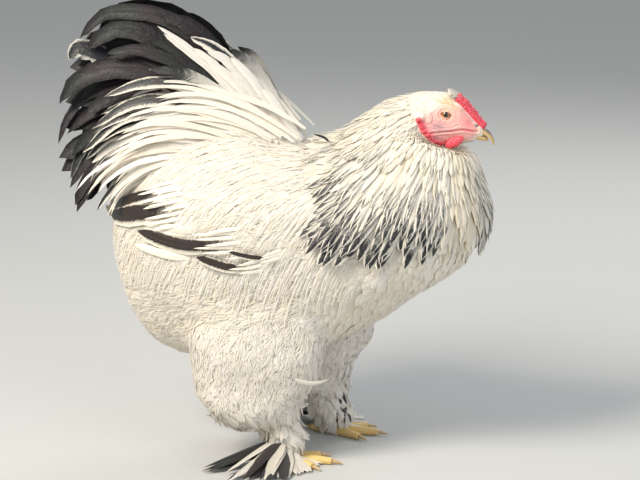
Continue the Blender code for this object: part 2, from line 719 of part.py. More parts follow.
def tail_path(root, heading, bend, flare, side, length):
    """A tail feather's points, which bow over backwards, and the outer side of its blade."""
    steps = 5
    points, outs = [root], []
    for i in range(steps + 1):
        s = min((i + 0.5) / steps, 1.0)
        turned = heading + bend * s**1.6
        lie = Vector((math.cos(turned), side * flare, math.sin(turned))).normalized()
        over = Vector((lie.z, 0, -lie.x))
        out = Vector((0, side * 0.85, 0)) + over * 0.5
        outs.append((out - lie * out.dot(lie)).normalized())
        if i < steps:
            points.append(points[-1] + lie * length / steps)
    return points, outs


def build_tail(bird, torso, wings):
    """Main feathers in a tented fan, sickles that bow over them, and coverts outside."""
    tail = skin_mesh("tail", Skin(TAIL_RINGS), 7, 14, bird.parts)
    vanes = []
    for tier in TAIL_TIERS:
        for k in range(tier["number"]):
            f = k / (tier["number"] - 1)
            first, last = tier["root"]
            for side in SIDES:
                heading = math.radians(share(tier["heading"], f) + bird.chance.uniform(-2, 2))
                bend = math.radians(share(tier["bend"], f))
                x, z = share((first[0], last[0]), f), share((first[1], last[1]), f)
                root = Vector((x, side * share(tier["y"], f), z))
                length = share(tier["length"], f) * bird.chance.uniform(0.97, 1.03)
                path, outs = tail_path(root, heading, bend, share(tier["flare"], f), side, length)
                name = f"{tier['name']}_{k}_{side}"
                vanes.append(vane(name, path, outs, tier["half_width"], tier["form"], bird.parts))
    combine(tail, vanes)
    cut_clear(tail, [torso, *wings], bird)
    return bird.dress(tail, bird.black)


def build_thigh(bird, side, place, torso):
    """The thigh's core with rounded clumps of fluff that hang over one another."""
    skin = Skin(THIGH_RINGS, side, place)
    thigh = skin_mesh("thigh_" + SIDES[side], skin, 9, 14, bird.parts)
    clumps = []
    for root, tip, number, half_width, turn in FLUFF_TIERS:
        for k in range(number):
            angle = 2 * math.pi * (k + turn + bird.chance.uniform(-0.12, 0.12)) / number
            path, outs = [], []
            for s in FLUFF_SHARES:
                t = root + (tip - root) * s
                out = skin.normal(t, angle)
                path.append(skin.at(t, angle) + out * (FLUFF_LIFT * s**1.5 - 0.006 * (1 - s) ** 2))
                outs.append(out)
            clumps.append(vane(f"fluff_{k}", path, outs, half_width, "CLUMP", bird.parts, CLUMP_RIDGE))
    combine(thigh, clumps)
    cut_clear(thigh, [torso], bird)
    return bird.dress(thigh, bird.white)


def build_leg(bird, side, torso):
    """A leg: its thigh, the shank with long feathers on its outer side, and the foot."""
    place = Vector((LEG_STEP[side], side * LEG_Y, 0))
    thigh = build_thigh(bird, side, place, torso)
    shank = skin_mesh("shank_" + SIDES[side], Skin(SHANK_RINGS, side, place), 5, 12, bird.parts)
    root = place + ANKLE
    combine(shank, [foot_feather(bird, side, root, *sizes) for sizes in SHANK_FEATHERS])
    cut_clear(shank, [thigh], bird, FEATHER_GAP)
    bird.dress(shank, bird.white)
    build_foot(bird, side, place, thigh, shank)


def foot_feather(bird, side, ankle, heading, length, height):
    """A feather that leaves the foot outwards and levels out just above the floor."""
    lie = Vector((math.cos(heading), side * math.sin(heading), 0))
    start = Vector((ankle.x, ankle.y, height)) + lie * 0.003
    bend = start + lie * length * 0.30
    end = start + lie * length
    bend.z = height * 0.75
    end.z = FEATHER_FLOOR + 0.001
    path, outs = [], []
    for s in PATH_SHARES:
        point = start * (1 - s) ** 2 + bend * 2 * s * (1 - s) + end * s**2
        point.z = max(point.z, FEATHER_FLOOR)
        path.append(point)
        outs.append(Vector((0, 0, 1)))
    width = FOOT_FEATHER_WIDTH * bird.chance.uniform(0.9, 1.1)
    return vane("foot_feather", path, outs, width, "POINTED", bird.parts)


def build_foot(bird, side, place, thigh, shank):
    """The toes with their claws, flat underneath, and the long feathers on the outer side."""
    ankle = place + ANKLE
    foot = ball("foot_" + SIDES[side], ankle, ANKLE_SIZES, bird.parts, 12, 8)
    pieces = []
    for toe, (heading, length) in TOES.items():
        lie = Vector((math.cos(heading), side * math.sin(heading), 0))
        knuckles = [ankle + lie * length * s for s in TOE_SHARES]
        for knuckle, high in zip(knuckles, TOE_HEIGHTS):
            knuckle.z = high
        radii = [TOE_RADIUS * taper for taper in TOE_TAPER]
        pieces.append(tube(f"toe_{toe}", knuckles, radii, 8, bird.parts))
        build_claw(bird, f"claw_{toe}_{SIDES[side]}", knuckles[-1], lie)
    for heading, length, height in FOOT_FEATHERS:
        pieces.append(foot_feather(bird, side, ankle, heading, length, height))
    combine(foot, pieces)
    bm = bmesh.new()
    bmesh.ops.create_cube(bm, size=1.0)
    bmesh.ops.translate(bm, vec=(0, 0, FLOOR - 0.5), verts=bm.verts)
    below = new_object("below_floor", bm, bird.cutters)
    cut_clear(foot, [shank, thigh], bird, FEATHER_GAP, [below])
    bird.dress(foot, bird.white)


def build_claw(bird, name, toe_end, lie):
    start = toe_end + lie * (GAP + 0.0004)
    shares = (0, 0.5, 1)
    points = [start + lie * CLAW_LENGTH * s - Vector((0, 0, CLAW_DROP * s**2)) for s in shares]
    claw = tube(name, points, [CLAW_RADIUS, CLAW_RADIUS * 0.75, CLAW_RADIUS * 0.18], 6, bird.parts)
    bird.dress(claw, bird.horn)


def centre(parts):
    """Moves the whole bird so that the origin is under the middle of its bounding box."""
    corners = [vertex.co for node in parts.objects for vertex in node.data.vertices]
    low = Vector([min(corner[i] for corner in corners) for i in range(3)])
    high = Vector([max(corner[i] for corner in corners) for i in range(3)])
    move = Vector((-(low.x + high.x) / 2, -(low.y + high.y) / 2, -low.z))
    for node in parts.objects:
        node.data.transform(Matrix.Translation(move))


def main():
    clear_scene()
    bird = Bird()
    torso = build_torso(bird)
    head = build_head(bird)
    build_eyes(bird)
    beak = build_beak(bird, head)
    comb = build_comb(bird, head, beak)
    lobes = build_lobes(bird, head, beak)
    wings = [build_wing(bird, side, torso) for side in SIDES]
    neck = build_neck(bird, [torso, *wings, comb, *lobes])
    tail = build_tail(bird, torso, wings)
    for side in SIDES:
        build_leg(bird, side, torso)
    build_saddle(bird, torso, [*wings, tail, neck])
    centre(bird.parts)


main()
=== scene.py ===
# %% [markdown]
# # A light Brahma cockerel in feathers
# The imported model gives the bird's solids. This lesson dresses them: one skin under the plumage,
# thousands of small mesh feathers laid along it, a bare face, a pea comb, a horn beak and wet eyes.
# All of it is made from named sizes in metres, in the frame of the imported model.

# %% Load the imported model
import json
import math

import bmesh
import bpy
import numpy as np
from mathutils import Matrix, Vector
from mathutils.bvhtree import BVHTree

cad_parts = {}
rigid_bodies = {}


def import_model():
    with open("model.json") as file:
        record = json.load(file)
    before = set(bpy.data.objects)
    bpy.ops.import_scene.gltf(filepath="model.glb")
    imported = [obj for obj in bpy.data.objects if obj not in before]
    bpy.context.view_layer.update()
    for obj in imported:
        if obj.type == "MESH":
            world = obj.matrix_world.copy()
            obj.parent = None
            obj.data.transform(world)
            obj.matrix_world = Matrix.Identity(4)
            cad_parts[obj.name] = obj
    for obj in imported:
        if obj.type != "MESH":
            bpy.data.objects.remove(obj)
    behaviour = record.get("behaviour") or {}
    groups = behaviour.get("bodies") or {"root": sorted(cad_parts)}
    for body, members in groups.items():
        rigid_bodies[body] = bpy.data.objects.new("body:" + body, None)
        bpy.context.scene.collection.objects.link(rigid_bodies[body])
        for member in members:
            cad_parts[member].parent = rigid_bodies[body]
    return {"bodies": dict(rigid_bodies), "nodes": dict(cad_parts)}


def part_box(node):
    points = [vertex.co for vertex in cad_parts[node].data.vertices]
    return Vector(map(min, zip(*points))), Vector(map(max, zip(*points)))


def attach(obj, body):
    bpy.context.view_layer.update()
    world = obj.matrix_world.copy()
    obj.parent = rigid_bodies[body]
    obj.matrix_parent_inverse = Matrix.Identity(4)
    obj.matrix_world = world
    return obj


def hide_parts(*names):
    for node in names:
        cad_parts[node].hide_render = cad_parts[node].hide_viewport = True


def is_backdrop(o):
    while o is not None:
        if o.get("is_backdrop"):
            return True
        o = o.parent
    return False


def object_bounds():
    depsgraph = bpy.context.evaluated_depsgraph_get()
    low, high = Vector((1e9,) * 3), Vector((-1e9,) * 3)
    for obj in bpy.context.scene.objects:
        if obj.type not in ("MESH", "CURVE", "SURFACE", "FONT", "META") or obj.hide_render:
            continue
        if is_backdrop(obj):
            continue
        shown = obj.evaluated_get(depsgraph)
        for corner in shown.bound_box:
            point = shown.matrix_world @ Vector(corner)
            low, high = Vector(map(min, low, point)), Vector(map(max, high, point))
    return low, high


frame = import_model()
cad_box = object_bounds()
BODY = next(iter(frame["bodies"]))
chance = np.random.default_rng(29)
LEFT, RIGHT = 1, -1
SIDES = {RIGHT: "right", LEFT: "left"}
print("nodes", len(frame["nodes"]), "body", BODY)

# %% [markdown]
# The bird's sizes were worked out round its eyes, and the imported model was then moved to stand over
# the origin. The eyes' boxes give that move back, so every size below is used as it was measured.

# %% The eyes give the move
EYE = np.array([0.1983, 0.0168, 0.4363])
EYE_RADIUS = 0.0078
eye_boxes = [corner for side in SIDES.values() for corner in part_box("eye_" + side)]
SHIFT = np.mean([list(corner) for corner in eye_boxes], axis=0) - EYE * (1, 0, 1)
print("move in mm", np.round(SHIFT * 1000, 2))

# %% [markdown]
# ## Small tools
# Numbers in arrays are quicker than single points, and a coat has many points. These helpers ease a
# value between two limits, set a direction's length to one, and turn sRGB hex into linear light.


# %% Helpers for numbers and colours
def smooth(value, low, high):
    share = np.clip((value - low) / (high - low), 0, 1)
    return share * share * (3 - 2 * share)


def unit(vectors):
    return vectors / np.maximum(np.linalg.norm(vectors, axis=-1, keepdims=True), 1e-9)


def linear(hex_colour):
    parts = [int(hex_colour[i : i + 2], 16) / 255 for i in (1, 3, 5)]
    return tuple(c / 12.92 if c <= 0.04045 else ((c + 0.055) / 1.055) ** 2.4 for c in parts) + (1.0,)


print("cream white", [round(c, 3) for c in linear("#F4EEE2")])

# %% [markdown]
# One function adds any shader node, sets what it is told and links what it is given. Materials are
# then read from top to bottom, like a recipe.


# %% A helper for shader nodes
def feed(node, inputs):
    """Links each input that is given an output, and sets every other one as a constant."""
    for name, value in inputs.items():
        if isinstance(value, bpy.types.NodeSocket):
            node.id_data.links.new(value, node.inputs[name])
        else:
            node.inputs[name].default_value = value


def add_node(tree, kind, inputs=None, output=0, **settings):
    """Adds a node with its settings and inputs, and gives back one of its outputs."""
    node = tree.nodes.new("ShaderNode" + kind)
    for name, value in settings.items():
        setattr(node, name, value)
    feed(node, inputs or {})
    return node.outputs[output]


def new_material(name, **inputs):
    """A material with its Principled shader's constants set, and its tree and shader."""
    material = bpy.data.materials.new(name)
    material.use_nodes = True
    shader = material.node_tree.nodes["Principled BSDF"]
    feed(shader, {socket.replace("_", " "): value for socket, value in inputs.items()})
    return material, material.node_tree, shader


print("node helper ready")

# %% [markdown]
# ## Surfaces that feathers lie on
# A bird's body is a few smooth skins. Each is drawn through rings: an upper point (x, z), a side
# point (x, half width, z), a lower point (x, z) and the y of the middle. A place on a skin has two
# numbers: t runs from the first ring to the last, and angle runs round from the upper point, with
# the bird's left side positive. The same two numbers later serve as the unwrap of the coat.


# %% Skins through rings
def through(knots, place):
    """A smooth curve through rows of numbers, read at places that are counted in rows."""
    knots = np.concatenate([2 * knots[:1] - knots[1:2], knots, 2 * knots[-1:] - knots[-2:-1]])
    i = np.minimum(place.astype(int), len(knots) - 4)
    f = (place - i)[..., None]
    a, b, c, d = (knots[i + k] for k in range(4))
    return (2 * b + (c - a) * f + (2 * a - 5 * b + 4 * c - d) * f**2 + (3 * b - a - 3 * c + d) * f**3) / 2


class Skin:
    def __init__(self, rings, side=1, shift=(0, 0, 0), fall=1.0):
        self.rings = np.array(rings, float)
        self.side, self.fall = side, fall
        self.shift = SHIFT + np.array(shift)
        self.proud = self.tuck = None

    def ring(self, t):
        return through(self.rings, np.clip(t, 0, 1) * (len(self.rings) - 1))

    def bare(self, t, angle):
        t, angle = np.broadcast_arrays(np.asarray(t, float), np.asarray(angle, float))
        r = self.ring(t)
        c = np.cos(angle)
        end = np.where((c > 0)[..., None], r[..., 0:2], r[..., 5:7])
        x = r[..., 2] + (end[..., 0] - r[..., 2]) * np.abs(c)
        z = r[..., 4] + (end[..., 1] - r[..., 4]) * np.abs(c) ** self.fall
        y = self.side * (r[..., 7] + r[..., 3] * np.sin(angle))
        place = np.stack([x, y, z], -1) + self.shift
        return place if self.tuck is None else place + self.tuck(t, angle)

    def raised(self, t, angle):
        place = self.bare(t, angle)
        if self.proud is None:
            return place
        step = 0.01
        inner = np.clip(t, step, 1 - step)
        along = self.bare(inner + step, angle) - self.bare(inner - step, angle)
        round_it = self.bare(t, angle + step) - self.bare(t, angle - step)
        out = unit(np.cross(round_it, along)) * self.side
        return place + out * self.proud(t, angle)[..., None]

    def at(self, t, angle):
        """A place on the skin, which goes on straight beyond its first and last rings."""
        t, angle = np.broadcast_arrays(np.asarray(t, float), np.asarray(angle, float))
        inner = np.clip(t, 0.004, 0.996)
        step = 0.004
        along = (self.raised(inner + step, angle) - self.raised(inner - step, angle)) / (2 * step)
        return self.raised(inner, angle) + along * (t - inner)[..., None]

    def spans(self, t, angle, step=0.012):
        """How far a place moves for a step along the skin and for one round it."""
        along = (self.at(t + step, angle) - self.at(t - step, angle)) / (2 * step)
        round_it = (self.at(t, angle + step) - self.at(t, angle - step)) / (2 * step)
        return along, round_it

    def out(self, t, angle):
        along, round_it = self.spans(t, angle)
        return unit(np.cross(round_it, along)) * self.side


TORSO = Skin(
    [
        (0.238, 0.302, 0.239, 0.014, 0.288, 0.236, 0.274, 0),
        (0.230, 0.335, 0.230, 0.050, 0.288, 0.222, 0.249, 0),
        (0.205, 0.362, 0.205, 0.079, 0.286, 0.196, 0.227, 0),
        (0.165, 0.378, 0.165, 0.097, 0.284, 0.157, 0.203, 0),
        (0.115, 0.384, 0.115, 0.107, 0.280, 0.112, 0.172, 0),
        (0.055, 0.388, 0.055, 0.113, 0.275, 0.055, 0.148, 0),
        (0.000, 0.400, 0.000, 0.115, 0.272, 0.000, 0.134, 0),
        (-0.055, 0.418, -0.055, 0.114, 0.272, -0.055, 0.123, 0),
        (-0.110, 0.424, -0.110, 0.106, 0.272, -0.112, 0.118, 0),
        (-0.158, 0.412, -0.163, 0.090, 0.272, -0.158, 0.130, 0),
        (-0.192, 0.384, -0.200, 0.067, 0.276, -0.194, 0.160, 0),
        (-0.210, 0.350, -0.218, 0.038, 0.284, -0.212, 0.205, 0),
        (-0.218, 0.322, -0.224, 0.012, 0.292, -0.220, 0.262, 0),
    ]
)
CAPE = Skin(
    [
        (0.150, 0.457, 0.166, 0.0290, 0.424, 0.204, 0.391, 0),
        (0.122, 0.448, 0.145, 0.052, 0.400, 0.232, 0.383, 0),
        (0.092, 0.429, 0.118, 0.089, 0.358, 0.245, 0.348, 0),
        (0.060, 0.409, 0.088, 0.117, 0.314, 0.254, 0.308, 0),
        (0.026, 0.403, 0.058, 0.129, 0.267, 0.244, 0.256, 0),
    ],
    fall=1.7,
)
HEAD = Skin(
    [
        (0.2425, 0.4185, 0.2425, 0.0078, 0.4150, 0.2415, 0.4085, 0),
        (0.2355, 0.4260, 0.2355, 0.0114, 0.4165, 0.2355, 0.4050, 0),
        (0.2250, 0.4390, 0.2260, 0.0170, 0.4190, 0.2280, 0.4020, 0),
        (0.2140, 0.4510, 0.2140, 0.0210, 0.4220, 0.2160, 0.3995, 0),
        (0.2000, 0.4595, 0.1990, 0.0240, 0.4240, 0.1990, 0.3965, 0),
        (0.1800, 0.4610, 0.1800, 0.0260, 0.4240, 0.1820, 0.3930, 0),
        (0.1610, 0.4600, 0.1630, 0.0265, 0.4220, 0.1670, 0.3910, 0),
        (0.1490, 0.4560, 0.1520, 0.0230, 0.4210, 0.1560, 0.3930, 0),
    ]
)
TAIL = Skin(
    [
        (0.020, 0.396, -0.080, 0.054, 0.372, -0.180, 0.350, 0),
        (-0.022, 0.450, -0.104, 0.046, 0.425, -0.205, 0.385, 0),
        (-0.074, 0.492, -0.138, 0.031, 0.463, -0.222, 0.425, 0),
        (-0.120, 0.514, -0.166, 0.014, 0.490, -0.222, 0.460, 0),
    ]
)
LEG_Y = 0.066
LEG_STEP = {RIGHT: 0.0, LEFT: 0.032}
THIGH_RINGS = [
    (-0.050, 0.262, 0.004, 0.018, 0.256, 0.056, 0.250, 0),
    (-0.084, 0.222, -0.010, 0.029, 0.210, 0.066, 0.202, 0),
    (-0.104, 0.165, -0.024, 0.046, 0.162, 0.060, 0.152, 0),
    (-0.110, 0.118, -0.034, 0.050, 0.116, 0.048, 0.114, 0),
    (-0.105, 0.078, -0.036, 0.046, 0.080, 0.030, 0.080, 0),
    (-0.080, 0.054, -0.026, 0.034, 0.058, 0.024, 0.060, 0),
    (-0.044, 0.045, -0.012, 0.018, 0.048, 0.018, 0.050, 0),
]
SHANK_RINGS = [
    (-0.020, 0.060, 0.000, 0.020, 0.062, 0.024, 0.064, 0),
    (-0.018, 0.040, 0.004, 0.018, 0.040, 0.026, 0.042, 0),
    (-0.014, 0.026, 0.008, 0.016, 0.026, 0.030, 0.028, 0),
    (-0.010, 0.0180, 0.010, 0.012, 0.0180, 0.026, 0.0190, 0),
]
places = {side: (LEG_STEP[side], side * LEG_Y, 0) for side in SIDES}
THIGHS = {side: Skin(THIGH_RINGS, side, place) for side, place in places.items()}
SHANKS = {side: Skin(SHANK_RINGS, side, place) for side, place in places.items()}
print("skins", "torso cape head tail thighs shanks")

# %% [markdown]
# Two forms are drawn on these skins as a move for each place. The cape's upper edge is drawn back and
# in behind the jowl, whose red fold lies free of feathers. A puff of short feathers swells over the
# ear, and a brow over the eye.


# %% The edge behind the jowl, the ear's puff and the brow
def behind_jowl(t, angle):
    share = np.interp(np.abs(angle), (1.45, 1.83, 2.09, 2.50, 3.05), (0, 0.75, 1.0, 0.8, 0))
    share = share * (1 - smooth(t, 0.0, 0.24))
    move = np.broadcast_arrays(-0.009, -0.006 * np.sign(angle), -0.0095)
    return share[..., None] * np.stack(move, -1)


def puff_and_brow(t, angle):
    x, _, z = np.moveaxis(HEAD.bare(t, angle) - SHIFT, -1, 0)
    puff = 1 - smooth(np.hypot((x - 0.1665) / 0.0108, (z - 0.4352) / 0.0076), 0.35, 1.1)
    brow = np.exp(-(((x - 0.1980) / 0.014) ** 2) - ((z - 0.4485) / 0.0050) ** 2)
    return 0.0046 * puff + 0.0016 * brow * smooth(np.abs(np.sin(angle)), 0.25, 0.6)


CAPE.tuck, HEAD.proud = behind_jowl, puff_and_brow
print("cape's edge, ear puffs and brows drawn")

# %% [markdown]
# The folded wings lie on the torso under one coat, which also runs over the top of the thighs. So the
# torso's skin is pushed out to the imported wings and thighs: rays from outside find how far each stands
# out, and a soft blur joins them to the body. A slow noise on top gives the plumage the gentle swells
# of down that lies in soft lumps.


# %% Push the torso out over the wings and thighs
def lumps(points, size, seed):
    """A slow, smooth noise of about -1 to 1 whose swells are about size across."""
    turn = np.random.default_rng(seed)
    total = 0
    for _ in range(7):
        way = unit(turn.normal(size=3)) * turn.uniform(0.7, 1.4) * math.pi / size
        total = total + np.sin(points @ way + turn.uniform(0, 2 * math.pi))
    return total / 3.2


def tree_of(*names):
    """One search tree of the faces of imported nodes."""
    corners, faces = [], []
    for name in names:
        mesh = frame["nodes"][name].data
        first = len(corners)
        corners += [vertex.co.copy() for vertex in mesh.vertices]
        faces += [tuple(first + i for i in face.vertices) for face in mesh.polygons]
    return BVHTree.FromPolygons(corners, faces)


def grid_round(rows, columns, end=1.0):
    """The t and angle of a grid over a skin, from its first ring to t = end."""
    return np.meshgrid(np.linspace(0, end, rows), np.linspace(-math.pi, math.pi, columns, False), indexing="ij")


def blurred(grid, times):
    for _ in range(times):
        up, down = np.vstack([grid[:1], grid[:-1]]), np.vstack([grid[1:], grid[-1:]])
        grid = (grid * 2 + up + down) / 4
        grid = (grid * 2 + np.roll(grid, 1, 1) + np.roll(grid, -1, 1)) / 4
    return grid


def reader(grid):
    """A function that reads a grid over t from 0 to 1 and angle from -pi to pi."""
    rows, columns = grid.shape

    def read(t, angle):
        i = np.clip(t, 0, 1) * (rows - 1)
        j = ((angle + math.pi) / (2 * math.pi) % 1) * columns
        i0, j0 = np.minimum(i.astype(int), rows - 2), j.astype(int) % columns
        fi, fj, j1 = i - i0, j - j.astype(int), (j0 + 1) % columns
        low = grid[i0, j0] * (1 - fj) + grid[i0, j1] * fj
        high = grid[i0 + 1, j0] * (1 - fj) + grid[i0 + 1, j1] * fj
        return low * (1 - fi) + high * fi

    return read


REACH = 0.06
limb_tree = tree_of(*(f"{part}_{side}" for part in ("wing", "thigh") for side in SIDES.values()))
grid_t, grid_a = grid_round(90, 120)
surface = TORSO.bare(grid_t, grid_a)
outward = TORSO.out(grid_t, grid_a)
proud = np.zeros(grid_t.shape)
for i, j in np.ndindex(proud.shape):
    start = Vector(surface[i, j] + outward[i, j] * REACH)
    hit = limb_tree.ray_cast(start, Vector(-outward[i, j]), REACH)[3]
    proud[i, j] = REACH - hit if hit else 0.0
proud = np.clip(proud, 0, 0.03)
swell = lumps(surface, 0.050, 3) * 0.0022 + lumps(surface, 0.026, 4) * 0.0010
low_side = smooth(-np.cos(grid_a), -0.1, 0.7)
TORSO.proud = reader(blurred(proud, 10) + swell * (0.25 + 0.75 * low_side))
for side, thigh in THIGHS.items():
    spots = thigh.bare(grid_t, grid_a)
    swell = lumps(spots, 0.040, 5 + side) * 0.0040 + lumps(spots, 0.018, 8 + side) * 0.0010
    thigh.proud = reader(swell * np.minimum(1, 8 * (1 - grid_t)))
print("wings and thighs stand out by up to", round(float(proud.max()) * 1000, 1), "mm")

# %% [markdown]
# ## A feather
# A feather is a thin vane with a raised shaft: a few rows of points along it and a few columns
# across. It is narrow at the root, widest past the middle, and its end is rounded, pointed or
# ragged. A coat lays many of them at once. Each starts under the surface, follows it and comes out
# at its tip, so that it lies on the root of the next one as shingles do.


# %% Lay feathers along a skin
def lay(skin, t, angle, heading, length, rows, sink, rise, curl=0.0, turn=0.0):
    """Centre lines over a skin and their outer sides.

    heading is the angle from the way of t towards the belly, and turn is added to it by the tip. The
    root lies sink below the skin. The tip stands rise above it, and curl lifts its last part more.
    """
    t, angle = t.copy(), angle.copy()
    belly = np.where(angle >= 0, 1.0, -1.0)
    path, outs = np.empty((len(t), rows, 3)), np.empty((len(t), rows, 3))
    for k in range(rows):
        s = k / (rows - 1)
        path[:, k] = skin.at(t, angle)
        along, round_it = skin.spans(t, angle)
        outs[:, k] = unit(np.cross(round_it, along)) * skin.side
        way = heading + turn * s
        move = length / (rows - 1)
        t = t + move * np.cos(way) / np.maximum(np.linalg.norm(along, axis=1), 0.02)
        sideways = move * np.sin(way) * belly / np.maximum(np.linalg.norm(round_it, axis=1), 0.01)
        angle = angle + np.clip(sideways, -0.5, 0.5)
    s = np.linspace(0, 1, rows)
    ease, over, bow = (
        np.multiply.outer(np.asarray(size) * np.ones(len(path)), share)
        for size, share in ((sink, (1 - s) ** 1.6), (rise, s), (curl, s**3))
    )
    return path + outs * (over + bow - ease)[..., None], outs


FORMS = {  # width at the root, where it is widest, and how blunt its end is
    "body": (0.45, 0.62, 2.2),
    "hackle": (0.50, 0.55, 1.35),
    "saddle": (0.45, 0.45, 1.5),
    "flight": (0.60, 0.60, 3.5),
    "sickle": (0.45, 0.50, 2.0),
    "down": (0.50, 0.55, 1.6),
    "strand": (0.80, 0.30, 1.2),
}


def widths(form, s):
    root, widest, blunt = FORMS[form]
    rising = root + (1 - root) * np.sin(math.pi / 2 * np.clip(s / widest, 0, 1))
    falling = 1 - np.clip((s - widest) / (1 - widest), 0, 1) ** blunt
    return np.where(s < widest, rising, np.sqrt(np.maximum(falling, 0)) * 0.97 + 0.03)


print("forms", *FORMS)

# %% [markdown]
# A coat collects batches of feathers and becomes one mesh. Each corner knows where it is on its own
# feather (the map called vane), how big that feather is in metres (metric), how it is marked
# (pattern: where the dark begins along it, how wide the dark is, and how far it leans to one edge)
# and its tint (tone, warmth, greyness). OFBake is an unwrap on which each feather has a small patch
# at its root's place.
# Plumage is soft because light takes its shading from the whole form more than from each vane, so
# the corners' normals are those of the surface below, turned outwards a little at both edges.


# %% Coats of feathers
PATCH = 0.003  # how much of the unwrap's width one feather takes
FLOOR_GAP = 0.0006  # no point is nearer to the floor than this, and no centre line than twice this
PLAIN = (2, 1, 0)  # the pattern of a white feather, whose dark would begin beyond its tip


class Coat:
    def __init__(self, name, slot, replaces=()):
        self.name, self.slot, self.replaces = name, slot, replaces
        self.corners, self.faces, self.maps, self.facts, self.normals = [], [], [], [], []
        self.count = 0

    def grow(self, skin, t, angle, heading, length, rows, sink, rise, curl, turn=0.0, band=(0.0, 1.0), **vane):
        """Adds feathers that are laid from places on a skin. The unwrap holds their roots in a band."""
        path, outs = lay(skin, t, angle, heading, length, rows, sink, rise, curl, turn)
        self.add(path, outs, root=root_places(t, angle, band), **vane)

    def add(self, path, outs, half, root, form, columns, camber, roll, fray, tint, pattern=PLAIN, rounded=0.30):
        """Adds feathers along centre lines: half is half their width, and camber, roll, fray and rounded
        are how hollow they are, how far they tip over, how ragged they are and how far normals turn out."""
        path = path.copy()
        path[..., 2] = np.maximum(path[..., 2], 2 * FLOOR_GAP)
        number, rows = path.shape[:2]
        s, u = np.linspace(0, 1, rows), np.linspace(-1, 1, columns + 1)
        heading = unit(np.gradient(path, axis=1))
        across = unit(np.cross(heading, outs))
        out = np.cross(across, heading)
        tip = (np.asarray(roll) * chance.normal(size=number))[:, None, None]
        across, out = across * np.cos(tip) + out * np.sin(tip), out * np.cos(tip) - across * np.sin(tip)
        wide = np.multiply.outer(np.asarray(half) * np.ones(number), widths(form, s))
        ragged = 1 - fray * chance.uniform(0, 0.6, (number, rows, columns + 1)) * np.abs(u)
        shape = wide[:, :, None] * u * ragged
        length = np.linalg.norm(np.diff(path, axis=1), axis=2).sum(1)
        jag = fray * chance.uniform(-1, 0.6, (number, rows, columns + 1)) * (s[:, None] > 0.35)
        jag = jag * (length / rows)[:, None, None] * 0.8
        points = path[:, :, None] + across[:, :, None] * shape[..., None]
        points = points + heading[:, :, None] * jag[..., None]
        points -= out[:, :, None] * (camber * wide[:, :, None] * u**2)[..., None]
        points[..., 2] = np.maximum(points[..., 2], FLOOR_GAP)
        normals = unit(outs[:, :, None] + across[:, :, None] * (rounded * u)[:, None])
        self.normals.append(normals.reshape(-1, 3))
        first = sum(len(c) for c in self.corners)
        index = first + np.arange(points[..., 0].size).reshape(number, rows, columns + 1)
        quads = [index[:, :-1, :-1], index[:, :-1, 1:], index[:, 1:, 1:], index[:, 1:, :-1]]
        grid_u, grid_s = np.broadcast_arrays((u + 1) / 2, s[:, None])
        vane = np.broadcast_to(np.stack([grid_u, grid_s], -1), (number, rows, columns + 1, 2))
        patch = root[:, None, None] + PATCH * (vane - 0.5)
        metric = np.stack([shape, np.broadcast_to(grid_s * length[:, None, None], shape.shape)], -1)
        facts = []
        for kind in (pattern, tint):
            three = np.stack(np.broadcast_arrays(*kind, np.zeros(number))[:3], -1)
            facts.append(np.broadcast_to(three[:, None, None], points.shape).reshape(-1, 3))
        self.corners.append(points.reshape(-1, 3))
        self.faces.append(np.stack(quads, -1).reshape(-1, 4))
        self.maps.append([m.reshape(-1, 2) for m in (vane, metric, patch)])
        self.facts.append(facts)
        self.count += number

    def finish(self, material):
        corners, faces = np.concatenate(self.corners), np.concatenate(self.faces)
        maps = [np.concatenate([batch[k] for batch in self.maps]) for k in range(3)]
        facts = [np.concatenate([batch[k] for batch in self.facts]) for k in range(2)]
        maps, facts = dict(zip(("vane", "metric", "OFBake"), maps)), dict(zip(("pattern", "tint"), facts))
        made = new_piece(self.name, corners, [faces], material, self.slot, maps, facts)
        made.data.normals_split_custom_set_from_vertices(np.concatenate(self.normals).tolist())
        if self.replaces:
            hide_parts(*self.replaces)
        print(self.name, self.count, "feathers,", 2 * len(faces), "triangles")
        return made


def new_object(name, data):
    made = bpy.data.objects.new(name, data)
    bpy.context.scene.collection.objects.link(made)
    return made


def new_piece(name, corners, faces, material, slot, maps=None, facts=None):
    """A smooth mesh that rides on the body. faces is a list of arrays, of quads or of triangles."""
    mesh = bpy.data.meshes.new(name)
    mesh.vertices.add(len(corners))
    mesh.vertices.foreach_set("co", np.ascontiguousarray(corners, np.float32).ravel())
    sizes = np.concatenate([np.full(len(f), f.shape[1]) for f in faces])
    loops = np.concatenate([f.ravel() for f in faces]).astype(np.int32)
    mesh.loops.add(len(loops))
    mesh.loops.foreach_set("vertex_index", loops)
    mesh.polygons.add(len(sizes))
    mesh.polygons.foreach_set("loop_start", (np.cumsum(sizes) - sizes).astype(np.int32))
    mesh.polygons.foreach_set("use_smooth", np.ones(len(sizes), bool))
    mesh.update(calc_edges=True)
    for key, values in (maps or {}).items():
        layer = mesh.uv_layers.new(name=key, do_init=False)
        layer.uv.foreach_set("vector", values[loops].astype(np.float32).ravel())
    for key, values in (facts or {}).items():
        layer = mesh.attributes.new(key, "FLOAT_VECTOR", "POINT")
        layer.data.foreach_set("vector", np.ascontiguousarray(values, np.float32).ravel())
    made = new_object(name, mesh)
    mesh.materials.append(material)
    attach(made, BODY)
    return made


def root_places(t, angle, band=(0.0, 1.0)):
    """Where roots lie on the unwrap of their skin, in an upright band of the map."""
    across = (angle + math.pi) / (2 * math.pi) % 1
    low, high = band
    return np.stack([low + (0.01 + 0.98 * across) * (high - low), 0.01 + 0.98 * np.clip(t, 0, 1)], -1)


